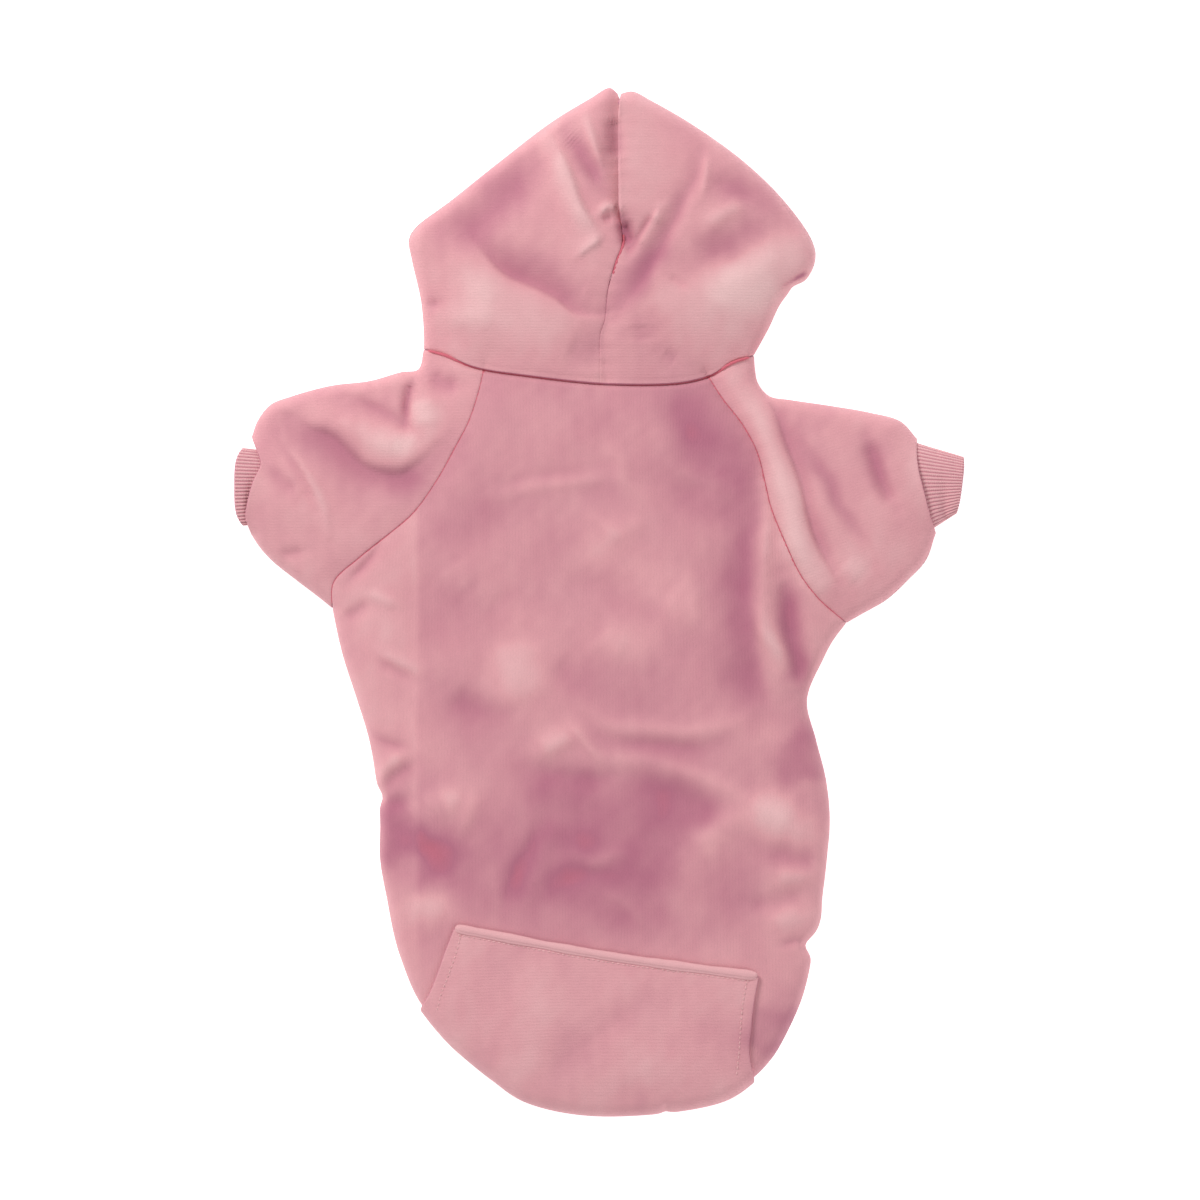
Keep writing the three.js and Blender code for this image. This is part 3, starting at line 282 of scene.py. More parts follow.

# Painted light and shade on the pile, laid on in strokes where light falls brighter or shade darker: amount
# (more is deeper shade, less than nothing is painted light), spread and the line itself
PAINTED_SHADING = [
    # Hood
    (0.3, 15, [(-58, 190), (-46, 198), (-34, 206)]),
    (0.2, 13, [(-74, 173), (-56, 177), (-38, 180)]),
    (0.3, 6, [(-14, 222), (-6, 208), (1, 196)]),
    (0.3, 9, [(-38, 166), (-26, 160), (-14, 152)]),
    (-0.35, 12, [(-72, 156), (-52, 140), (-30, 128)]),
    (-0.15, 9, [(18, 232), (20, 212), (22, 196)]),
    (0.4, 10, [(56, 200), (70, 193), (84, 181)]),
    (0.6, 6, [(30, 172), (22, 156), (12, 143)]),
    (0.3, 9, [(44, 176), (58, 164)]),
    (-0.8, 15, [(52, 138), (72, 149), (88, 160)]),
    (0.25, 8, [(14, 136), (24, 124)]),
    # Painted shade under the curled-up corner of the hood
    (1.5, 1.6, [(91.5, 152.6), (95, 154), (98.5, 155.4)]),
    # Sleeves
    (0.2, 18, [(-140, 84), (-128, 86), (-112, 92)]),
    (0.2, 10, [(-148, 84), (-132, 74), (-118, 64)]),
    (0.4, 8, [(-104, 60), (-92, 57), (-84, 62)]),
    (-0.6, 5, [(-104, 75), (-94, 74), (-88, 72)]),
    (-0.4, 6, [(-86, 94), (-82, 84)]),
    (0.3, 11, [(90, 88), (100, 82), (112, 80)]),
    (0.25, 6, [(127, 76), (131, 66), (137, 54)]),
    (0.3, 5, [(98, 74), (112, 50), (126, 28)]),
    (-0.3, 9, [(116, 18), (132, 22)]),
    # Back
    (0.45, 17, [(30, 94), (54, 76), (66, 48)]),
    (0.25, 9, [(70, 40), (68, 10), (68, -30)]),
    (-0.2, 12, [(-46, 4), (-36, -10), (-38, -30), (-24, -44)]),
    (0.2, 13, [(-66, 60), (-66, 20), (-66, -10)]),
    (0.15, 10, [(-72, -42), (-62, -50), (-52, -56)]),
    (-0.15, 7, [(-30, -70), (-18, -64)]),
    (0.3, 10, [(-36, -84), (-18, -90), (2, -92)]),
    (0.35, 13, [(14, -88), (36, -98), (58, -112)]),
    (0.75, 30, [(-50, -122), (0, -126), (44, -124)]),
    (0.2, 9, [(-30, -110), (-46, -146)]),
    (-0.2, 13, [(74, -100), (90, -105)]),
    (-0.3, 8, [(46, -122), (62, -108)]),
    (-0.2, 8, [(-80, -96), (-68, -98)]),
    (0.5, 14, [(-92, -104), (-80, -120), (-66, -132)]),
    (0.8, 14, [(-96, -94), (-95, -112), (-92, -130)]),
    (-0.3, 9, [(-88, -143), (-76, -149)]),
    (1.0, 13, [(93, -58), (97, -76), (98, -92)]),
    (0.75, 5, [(89, 6), (92, -18), (95, -42)]),
    (0.9, 12, [(88, -190), (86, -206), (78, -222)]),
    (0.35, 9, [(80, -118), (94, -124), (104, -126)]),
    (0.2, 8, [(-2, -70), (30, -72), (56, -70)]),
    (0.2, 14, [(-20, -40), (10, -38), (40, -34)]),
    (-0.25, 12, [(-10, 20), (14, 10), (40, 16)]),
]

# Places where the outline is drawn in or pushed out: x, y, step in x and y, and how far round it reaches
PINCHES = [
    (101, -165, -4.2, 0.0, 4.5),
    (101, -152, 1.6, 0.0, 7.0),
    (-106, -94, 2.2, 0.0, 4.0),
    (31, -242, 0.0, 1.6, 2.6),
    (95.5, 147, -2.0, 1.5, 4.0),
]

# Paths


class Path:
    """A line in plan, asked for by its share of length. It runs on straight past its ends."""

    def __init__(self, points):
        self.points = np.asarray(points, float)
        steps = np.linalg.norm(np.diff(self.points, axis=0), axis=1)
        self.along = np.concatenate([[0.0], np.cumsum(steps)])
        self.length = self.along[-1]

    def at(self, share):
        wanted = np.asarray(share, float) * self.length
        held = np.clip(wanted, 0.0, self.length)
        p = np.stack([np.interp(held, self.along, self.points[:, k]) for k in (0, 1)], -1)
        first = unit(self.points[1] - self.points[0])
        last = unit(self.points[-1] - self.points[-2])
        over = (wanted - held)[..., None]
        return p + np.where(over < 0, over * first, over * last)


def unit(v):
    return v / np.maximum(np.linalg.norm(v, axis=-1, keepdims=True), 1e-12)


def curved(points, per_span=40):
    """A centripetal Catmull-Rom line through the points."""
    p = np.asarray(points, float)
    p = np.vstack([2 * p[0] - p[1], p, 2 * p[-1] - p[-2]])
    t = np.linspace(0, 1, per_span, endpoint=False)[:, None]
    spans = []
    for i in range(1, len(p) - 2):
        a, b, c, d = p[i - 1:i + 3]
        before, here, after = (math.sqrt(np.linalg.norm(q)) for q in (b - a, c - b, d - c))
        start = ((b - a) / before - (c - a) / (before + here) + (c - b) / here) * here
        end = ((c - b) / here - (d - b) / (here + after) + (d - c) / after) * here
        square = -3 * b + 3 * c - 2 * start - end
        cube = 2 * b - 2 * c + start + end
        spans.append(b + start * t + square * t**2 + cube * t**3)
    return Path(np.vstack(spans + [p[-2:-1]]))


def stretch(path, start, end, count=300):
    return Path(path.at(np.linspace(start, end, count)))


def backwards(path):
    return Path(path.points[::-1])


def chain(*paths):
    parts = [paths[0].points] + [path.points[1:] for path in paths[1:]]
    return Path(np.vstack(parts))


def aside(path, step):
    """The same path moved sideways, with corners rounded; a positive step goes to its left."""
    even = path.at(np.linspace(0, 1, max(16, int(path.length / 0.4))))
    ahead = unit(np.gradient(even, axis=0))
    left = np.stack([-ahead[:, 1], ahead[:, 0]], -1)
    for _ in range(CORNER_SMOOTHING):
        left[1:-1] = (left[:-2] + 2 * left[1:-1] + left[2:]) / 4
    return Path(even + left * step)


def lerp(a, b, t):
    return a + (b - a) * t


def smooth(x, low, high):
    t = np.clip((x - low) / (high - low), 0, 1)
    return t * t * (3 - 2 * t)


# Outline
below_underarm = BACK_LENGTH - UNDERARM_DEPTH


def on_neck(across, up):
    return NAPE + (across * NECK_HALF_WIDTH, up * NECK_SCOOP)


def on_hood(across, up):
    return NAPE + (across * HOOD_HALF_WIDTH, up * HOOD_HEIGHT)


def on_body(across, down):
    return NAPE + (across * HALF_WIDTH, -UNDERARM_DEPTH - down * below_underarm)


neck_seam = curved([on_neck(*row) for row in NECK_SEAM])
neck_left, neck_right = neck_seam.at(0), neck_seam.at(1)
middle_x = (neck_left[0] + neck_right[0]) / 2
half_neck = (neck_right[0] - neck_left[0]) / 2
drop = THROAT_SCOOP * (1 - ((neck_seam.points[:, 0] - middle_x) / half_neck) ** 2)
throat_seam = Path(neck_seam.points - np.stack([0 * drop, drop], -1))
hood_edge_left = curved([neck_left] + [on_hood(*row) for row in HOOD_LEFT + [HOOD_PEAK]])
hood_edge_right = curved([neck_right] + [on_hood(*row) for row in HOOD_RIGHT + [HOOD_PEAK]])
hood_seam = curved([on_hood(*row) for row in HOOD_SEAM])
inset = RIM + HAIRLINE


def neck_ease(share):
    """Full along the nape and nothing at the ends of the neck seam."""
    return smooth(share, 0.05, 0.15) * smooth(1 - share, 0.05, 0.15)


# The body and sleeves run on under the edge of the hood, which hangs a little over them
neck_shares = np.linspace(0, 1, 400)
neck_step = lerp(-inset, NECK_TUCK, neck_ease(neck_shares))
neck_under = Path(neck_seam.at(neck_shares) + np.stack([0 * neck_step, neck_step], -1))
hood_step = lerp(inset, -NECK_OVERLAP, neck_ease(neck_shares))
neck_over = Path(neck_seam.at(neck_shares) + np.stack([0 * hood_step, hood_step], -1))


def sleeve_edges(table, side, neck_end):
    cuff_seam = HALF_WIDTH + SLEEVE_LENGTH * table["reach"]
    across, down = table["underarm"]
    underarm = NAPE + (side * across * HALF_WIDTH, -down * UNDERARM_DEPTH)

    def row(start, out, down):
        return NAPE + (side * lerp(abs(start[0] - NAPE[0]), cuff_seam, out), -down * UNDERARM_DEPTH)

    upper = [row(neck_end, *r) for r in table["upper"]]
    lower = [row(underarm, *r) for r in table["lower"]][::-1]
    seam_x = (upper[-1][0] + lower[-1][0]) / 2
    high, low = table["ends"]

    def cuff_corner(slant, down):
        return np.array([seam_x + side * (table["beyond"] + slant), NAPE[1] - down * UNDERARM_DEPTH])

    return {
        "side": side,
        "underarm": underarm,
        "upper": curved([neck_end] + upper),
        "lower": curved([underarm] + lower),
        "cuff_upper": cuff_corner(table["slant"], high),
        "cuff_lower": cuff_corner(-table["slant"], low),
    }


left_edges = sleeve_edges(LEFT_SLEEVE, -1, neck_left)
right_edges = sleeve_edges(RIGHT_SLEEVE, 1, neck_right)
body_edge = curved(
    [left_edges["underarm"]]
    + [on_body(left, down) for down, left, right in BODY_OUTLINE]
    + [on_body(*TAIL_TIP)]
    + [on_body(right, down) for down, left, right in BODY_OUTLINE][::-1]
    + [right_edges["underarm"]]
)


def sampled(path, step=2.5):
    return path.at(np.linspace(0, 1, max(2, math.ceil(path.length / step)), endpoint=False))


def cuff_spur(edges, past=70.0):
    """Past each cuff the outline runs on, so that the cloth stays open there."""
    far = np.array([edges["side"] * past, 0.0])
    high, low = edges["cuff_upper"], edges["cuff_lower"]
    return np.array([high, high + far, low + far, low])


outline = np.vstack([
    sampled(hood_edge_left),
    sampled(backwards(hood_edge_right)),
    sampled(right_edges["upper"]),
    right_edges["upper"].at(1)[None],
    cuff_spur(right_edges),
    sampled(backwards(right_edges["lower"])),
    sampled(backwards(body_edge)),
    sampled(left_edges["lower"]),
    left_edges["lower"].at(1)[None],
    cuff_spur(left_edges)[::-1],
    sampled(backwards(left_edges["upper"])),
])
from_corner = outline
to_corner = np.roll(outline, -1, axis=0)
edge_length = np.linalg.norm(to_corner - from_corner, axis=1)
edge_ahead = (to_corner - from_corner) / np.maximum(edge_length, 1e-9)[:, None]
CHUNK = 6000


def in_chunks(function, p):
    """The function's values at all points, found for a few thousand at a time to spare memory."""
    flat = p.reshape(-1, 2)
    parts = [function(flat[i:i + CHUNK]) for i in range(0, len(flat), CHUNK)]
    whole = np.concatenate(parts)
    return whole.reshape(p.shape[:-1] + whole.shape[1:])


def depth_here(p):
    """How deep inside the outline each point lies, rounded off towards the middle."""
    off = from_corner[None] - p[:, None]
    before = off[..., 0] * edge_ahead[:, 0] + off[..., 1] * edge_ahead[:, 1]
    aside_of = off[..., 0] * edge_ahead[:, 1] - off[..., 1] * edge_ahead[:, 0]
    gap = np.maximum(aside_of**2, 1e-8)
    after = before + edge_length
    pull = (after / np.sqrt(gap + after**2) - before / np.sqrt(gap + before**2)) / gap
    pull[:, edge_length < 1e-6] = 0
    return np.sqrt(2 / pull.sum(1))


def nearest_here(p):
    """The nearest point of the outline."""
    off = p[:, None] - from_corner[None]
    along = np.clip(off[..., 0] * edge_ahead[:, 0] + off[..., 1] * edge_ahead[:, 1], 0, edge_length)
    spots = from_corner[None] + edge_ahead[None] * along[..., None]
    best = ((spots - p[:, None]) ** 2).sum(-1).argmin(1)
    return spots[np.arange(len(p)), best]


def inside_here(p):
    a, b = from_corner, to_corner
    x, y = p[:, :1], p[:, 1:]
    rise = np.where(b[:, 1] == a[:, 1], 1e-12, b[:, 1] - a[:, 1])
    crosses = ((a[:, 1] > y) != (b[:, 1] > y)) & (x < a[:, 0] + (y - a[:, 1]) * (b[:, 0] - a[:, 0]) / rise)
    return crosses.sum(1) % 2 == 1


def depth_inside(p):
    return in_chunks(depth_here, p)


# Raglan seams


def raglan(start, table, underarm):
    rows = [start + (underarm - start) * (out, down) for down, out in table]
    return curved([start] + rows + [underarm])


raglan_left = raglan(neck_under.at(RAGLAN_START_LEFT), RAGLAN_LEFT, left_edges["underarm"])
raglan_right = raglan(neck_under.at(RAGLAN_START_RIGHT), RAGLAN_RIGHT, right_edges["underarm"])
under_raglan_left = raglan(throat_seam.at(RAGLAN_START_LEFT), RAGLAN_LEFT, left_edges["underarm"])
under_raglan_right = raglan(throat_seam.at(RAGLAN_START_RIGHT), RAGLAN_RIGHT, right_edges["underarm"])

# Relief


def ripple(p, wavelength, seed, waves=9):
    """Smooth random relief of about one unit, from a few sine waves."""
    draw = np.random.default_rng(seed)
    total = np.zeros(p.shape[:-1])
    for _ in range(waves):
        turn = draw.uniform(0, 2 * math.pi)
        pitch = wavelength * draw.uniform(0.7, 1.5)
        phase = draw.uniform(0, 2 * math.pi)
        along = p[..., 0] * math.cos(turn) + p[..., 1] * math.sin(turn)
        total += np.sin(along * 2 * math.pi / pitch + phase)
    return total / math.sqrt(waves / 2) / 2


def beside(p, samples):
    """For each point, the distance from a line, the side (positive on its left) and the share along it."""
    off = p[:, None] - samples[None]
    square = (off**2).sum(-1)
    best = square.argmin(1)
    ahead = unit(np.gradient(samples, axis=0))[best]
    chosen = off[np.arange(len(p)), best]
    side = ahead[:, 0] * chosen[:, 1] - ahead[:, 1] * chosen[:, 0]
    return np.sqrt(square[np.arange(len(p)), best]), side, best / (len(samples) - 1)


def near_line(p, line, reach):
    """Which points lie in the box round a line, made wider by the reach."""
    low, high = line.min(0) - reach, line.max(0) + reach
    return np.flatnonzero(((p > low) & (p < high)).all(1))


def add_stroke(height, p, line, amount, left, right, sharpness):
    """Adds a ridge along a line, which is weaker towards its ends."""
    near = near_line(p, line, 3.2 * max(left, right))
    if not len(near):
        return
    distance, side, share = beside(p[near], line)
    width = lerp(right, left, smooth(side / (0.5 * (left + right)), -0.5, 0.5))
    ends = smooth(share, 0, 0.28) * smooth(1 - share, 0, 0.28)
    strength = 0.35 + 0.65 * ends
    height[near] += amount * strength * np.exp(-(distance / width) ** sharpness)


def line_of(points, step=1.5):
    path = curved(points, 24)
    return path.at(np.linspace(0, 1, max(20, int(path.length / step))))


fold_lines = [(row, line_of(row[4])) for row in FOLDS]
shading_lines = [(row, line_of(row[2])) for row in PAINTED_SHADING]
neck_line = sampled(neck_seam, SEAM_STEP)
# Grooves of the raglan seams and the middle seam of the hood: line, depth, width, height of the puckers
grooves = [
    (sampled(raglan_left, SEAM_STEP), 0.6, 1.3, 0.15),
    (sampled(raglan_right, SEAM_STEP), 1.5, 1.8, 0.15),
    (sampled(hood_seam, SEAM_STEP), 0.8, 1.4, 0.2),
]


def seam_relief(p, of_hood):
    """Grooves along the seams, with small puckers across them."""
    flat = p.reshape(-1, 2)
    down = np.zeros(len(flat))
    for line, depth, width, pucker in grooves:
        near = near_line(flat, line, 24)
        if not len(near):
            continue
        distance, _, share = beside(flat[near], line)
        run = share * len(line) * SEAM_STEP
        wave = np.sin(run * 2 * math.pi / PUCKER_PITCH + 1.4 * np.sin(run / 9.0)) * pucker
        down[near] += depth * np.exp(-distance / width) + np.exp(-((distance / 7) ** 2))
        down[near] += wave * np.exp(-distance / 5)
    near = near_line(flat, neck_line, 34)
    if len(near):
        distance, side, share = beside(flat[near], neck_line)
        if of_hood:
            drop = HOOD_EDGE_DROP * np.exp(-distance / 1.4) + 1.6 * np.exp(-((distance / 13) ** 2))
        else:
            past_hood = np.maximum(distance - NECK_OVERLAP - RIM, 0)
            drop = NECK_DROP * neck_ease(share) * np.where(side > 0, 1, np.exp(-((past_hood / 1.3) ** 2)))
            drop += 1.6 * np.exp(-((distance / 13) ** 2))
        down[near] += drop
    return down.reshape(p.shape[:-1])


def folds(p):
    """Height of the folds, and of the slack of the cloth between them."""
    flat = p.reshape(-1, 2)
    bent = flat + np.stack([ripple(flat, 34, 11), ripple(flat, 34, 12)], -1)
    height = np.zeros(len(flat))
    for (amount, left, right, sharpness, _), line in fold_lines:
        add_stroke(height, bent, line, amount, left, right, sharpness)
    height += 0.5 * ripple(flat, 46, 21) + 0.1 * ripple(flat, 19, 22)
    return height.reshape(p.shape[:-1])


def painted_shading(p):
    """Painted shade and painted light on the cloth, apart from the folds, with a little random mottling."""
    flat = p.reshape(-1, 2)
    tone = np.zeros(len(flat))
    bent = flat + np.stack([ripple(flat, 22, 13), ripple(flat, 22, 14)], -1) * 3.0
    for (amount, spread, _), line in shading_lines:
        add_stroke(tone, bent, line, amount, spread, spread, 2)
    tone *= 1 + 0.25 * ripple(flat, 17, 15)
    tone += 0.08 * ripple(flat, 26, 16) + 0.05 * ripple(flat, 9, 17)
    return tone.reshape(p.shape[:-1])


def upper_surface(p, extra=None, of_hood=False):
    """Height of the upper cloth, and the painted shade in the hollows of its folds and painted highlight on
    their crests, with the painted light and shade of the strokes.
    """
    depth = depth_inside(p)
    rounding = 1 - np.minimum(depth / EDGE_RADIUS, 1)
    puff = lerp(BODY_PUFF, HOOD_PUFF, smooth(p[..., 1] - NAPE[1], 0, 0.3 * HOOD_HEIGHT))
    fold_relief = folds(p)
    relief = fold_relief - seam_relief(p, of_hood)
    if extra is not None:
        relief = relief + extra(p)
    off_edge = 1 - np.exp(-((depth / RELIEF_FADE) ** 2))
    rise = EDGE_RISE * np.sqrt(1 - rounding**2) + puff * (1 - np.exp(-depth / PUFF_REACH))
    height = np.maximum(FOLD_HEIGHT + rise + relief * off_edge, FOLD_HEIGHT + LEAST_RISE * rise)
    # Painted shade where the folds sink and painted highlight where they rise, added to the painted strokes
    tone = painted_shading(p) - fold_relief * off_edge / FOLD_DEPTH_PER_SHADE
    return height, TONE_LIMIT * np.tanh(tone / TONE_LIMIT)


def lower_height(p):
    rounding = 1 - np.minimum(depth_inside(p) / FOLD_HEIGHT, 1)
    return FOLD_HEIGHT * (1 - np.sqrt(1 - rounding**2))


def squeeze(reach):
    """How much nearer to the edge cloth comes when it is turned over it."""
    return 1 - np.exp(-reach / (2 * FOLD_HEIGHT))


def on_top(p, extra=None, of_hood=False):
    height, tone = upper_surface(p, extra, of_hood)
    return np.concatenate([p, height[..., None], tone[..., None]], -1)


def on_floor(p):
    height = lower_height(p)[..., None]
    return np.concatenate([p, height, np.full_like(height, UNDERSIDE_SHADE)], -1)


def turned_over(spread, extra=None):
    """Cloth that runs over the outer edge: what lies past the outline is turned under."""
    edge = in_chunks(nearest_here, spread)
    inside = in_chunks(inside_here, spread)
    offset = spread - edge
    share = squeeze(np.linalg.norm(offset, axis=-1))[..., None]
    p = np.where(inside[..., None], edge + offset * share, edge - offset * share)
    return np.where(inside[..., None], on_top(p, extra), on_floor(p))


def spread_out(path):
    """Where points on top lie when the cloth is spread out."""
    p = path.points
    edge = in_chunks(nearest_here, p)
    offset = p - edge
    distance = np.maximum(np.linalg.norm(offset, axis=-1), 1e-6)
    reach = distance.copy()
    for _ in range(40):
        reach = distance / np.maximum(squeeze(reach), 1e-3)
    return Path(edge + offset * (reach / distance)[:, None])


def patch(top, foot, left, right, u, v, lean=1):
    """Coons patch between four paths: top and foot run across, left and right run down."""
    u2, v2 = u[..., None] ** lean, v[..., None]
    corners = (
        (1 - u2) * (1 - v2) * left.at(0) + u2 * (1 - v2) * right.at(0)
        + (1 - u2) * v2 * left.at(1) + u2 * v2 * right.at(1)
    )
    return (1 - v2) * top.at(u) + v2 * foot.at(u) + (1 - u2) * left.at(v) + u2 * right.at(v) - corners


def pinched(xyz):
    """The points with the outline drawn in or pushed out at its few nicks."""
    out = xyz.copy()
    for x, y, step_x, step_y, reach in PINCHES:
        pull = np.exp(-((xyz[..., 0] - x) ** 2 + (xyz[..., 1] - y) ** 2) / reach**2)
        out[..., 0] += step_x * pull
        out[..., 1] += step_y * pull
    return out


# Meshes


def blurred(a, times, ring):
    """The grid smoothed along both ways, a little each time."""
    out = a.copy()
    for _ in range(times):
        if ring:
            out = (np.roll(out, 1, 1) + 2 * out + np.roll(out, -1, 1)) / 4
        else:
            within = (out[:, :-2] + 2 * out[:, 1:-1] + out[:, 2:]) / 4
            out = np.concatenate([out[:, :1], within, out[:, -1:]], 1)
        within = (out[:-2] + 2 * out[1:-1] + out[2:]) / 4
        out = np.concatenate([out[:1], within, out[-1:]], 0)
    return out


def grid_normals(xyz, ring, flip):
    if ring:
        across = np.roll(xyz, -1, 1) - np.roll(xyz, 1, 1)
    else:
        across = np.gradient(xyz, axis=1)
    down = np.gradient(xyz, axis=0)
    return unit(np.cross(across, down)) * (-1 if flip else 1)


def build_mesh(name, vertices, faces, material, tone, knit):
    mesh = bpy.data.meshes.new(name)
    mesh.vertices.add(len(vertices))
    mesh.vertices.foreach_set("co", ((np.asarray(vertices) + PART_STEP) * 0.001).astype(np.float32).ravel())
    faces = np.asarray(faces, np.int32)
    mesh.loops.add(faces.size)
    mesh.loops.foreach_set("vertex_index", faces.ravel())
    mesh.polygons.add(len(faces))
    mesh.polygons.foreach_set("loop_start", np.arange(0, faces.size, faces.shape[1], dtype=np.int32))
    mesh.polygons.foreach_set("use_smooth", np.ones(len(faces), bool))
    mesh.update(calc_edges=True)
    mesh.validate()
    # The fold attribute carries the painted shade and painted light of the cloth, with a little random
    # mottling
    shade_and_tone_held = mesh.attributes.new("fold", "FLOAT", "POINT")
    shade_and_tone_held.data.foreach_set("value", tone.astype(np.float32).ravel())
    layer = mesh.uv_layers.new(name="knit")
    layer.data.foreach_set("uv", knit[faces.ravel()].astype(np.float32).ravel())
    mesh.materials.append(material)
    piece = bpy.data.objects.new(name, mesh)
    bpy.context.scene.collection.objects.link(piece)
    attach(piece, "root")
    return piece


def cloth(name, surface, knit, thickness, material, ring=False, flip=False, lift=0.0):
    """A closed sheet over a grid of points (x, y, z, tone), with a wall thickness and rounded edges."""
    rows, columns = surface.shape[:2]
    xyz = pinched(surface[..., :3])
    tone = surface[..., 3]
    normal = grid_normals(xyz, ring, flip)
    outer = xyz + normal * lift
    soft_normal = unit(blurred(normal, 3, ring))
    inner = outer - soft_normal * thickness
    index = np.arange(rows * columns).reshape(rows, columns)
    faces = []

    def quads(grid, turn):
        a, b, c, d = grid[:-1, :-1], grid[:-1, 1:], grid[1:, 1:], grid[1:, :-1]
        order = (a, d, c, b) if turn else (a, b, c, d)
        faces.append(np.stack(order, -1).reshape(-1, 4))

    def closed(grid):
        return np.concatenate([grid, grid[:, :1]], 1) if ring else grid

    quads(closed(index), flip)
    quads(closed(index + rows * columns), not flip)
    points = [outer.reshape(-1, 3), inner.reshape(-1, 3)]
    knits = [knit.reshape(-1, 2), knit.reshape(-1, 2)]
    tone_parts = [tone.ravel(), np.full(tone.size, INSIDE_SHADE)]
    count = 2 * rows * columns
    loops = []
    if ring:
        loops.append((index[0], index[1], False))
        loops.append((index[-1], index[-2], True))
    else:
        rim = np.concatenate([index[0, :-1], index[:-1, -1], index[-1, :0:-1], index[:0:-1, 0]])
        within = np.concatenate([
            np.clip(index[1, :-1], index[1, 1], index[1, -2]),
            np.clip(index[:-1, -2], index[1, -2], index[-2, -2]),
            np.clip(index[-2, :0:-1], index[-2, 1], index[-2, -2]),
            np.clip(index[:0:-1, 1], index[1, 1], index[-2, 1]),
        ])
        loops.append((rim, within, False))
    flat_outer, flat_inner = points
    flat_knit = knits[0]
    for rim, within, turn in loops:
        middle = (flat_outer[rim] + flat_inner[rim]) / 2
        out_from = flat_outer[rim] - flat_outer[within]
        up = unit(flat_outer[rim] - flat_inner[rim])
        out_from = unit(out_from - up * (out_from * up).sum(-1, keepdims=True))
        ladder = [rim]
        for k in range(1, RIM_STEPS + 1):
            angle = math.pi * k / (RIM_STEPS + 1)
            points.append(middle + math.cos(angle) * up * thickness / 2 + math.sin(angle) * out_from * RIM)
            knits.append(flat_knit[rim])
            tone_parts.append(np.full(len(rim), RIM_SHADE))
            ladder.append(np.arange(count, count + len(rim)))
            count += len(rim)
        ladder.append(rim + rows * columns)
        for a, b in zip(ladder, ladder[1:]):
            a2, b2 = np.roll(a, -1), np.roll(b, -1)
            order = (a, b, b2, a2) if turn == flip else (a, a2, b2, b)
            faces.append(np.stack(order, -1))
    return build_mesh(
        name, np.concatenate(points), np.concatenate(faces), material,
        np.concatenate(tone_parts), np.concatenate(knits),
    )


# Materials


def add_node(tree, kind, inputs=None, **settings):
    made = tree.nodes.new(kind)
    for key, value in settings.items():
        setattr(made, key, value)
    for key, value in (inputs or {}).items():
        if isinstance(value, bpy.types.NodeSocket):
            tree.links.new(value, made.inputs[key])
        else:
            made.inputs[key].default_value = value
    return made


def maths(tree, operation, *values):
    return add_node(tree, "ShaderNodeMath", dict(enumerate(values)), operation=operation).outputs[0]


def mixed(tree, factor, a, b, blend="MIX"):
    made = add_node(tree, "ShaderNodeMix", {0: factor, 6: a, 7: b}, data_type="RGBA", blend_type=blend)
    return made.outputs[2]


def noise(tree, place, scale, detail, roughness):
    inputs = {"Vector": place, "Scale": scale, "Detail": detail, "Roughness": roughness}
    return add_node(tree, "ShaderNodeTexNoise", inputs).outputs[0]


def ramp(tree, value, low, high, most):
    """Nothing at the low end, and the most at the high end."""
    inputs = {0: value, 1: low, 2: high, 3: 0.0, 4: most}
    return add_node(tree, "ShaderNodeMapRange", inputs).outputs[0]


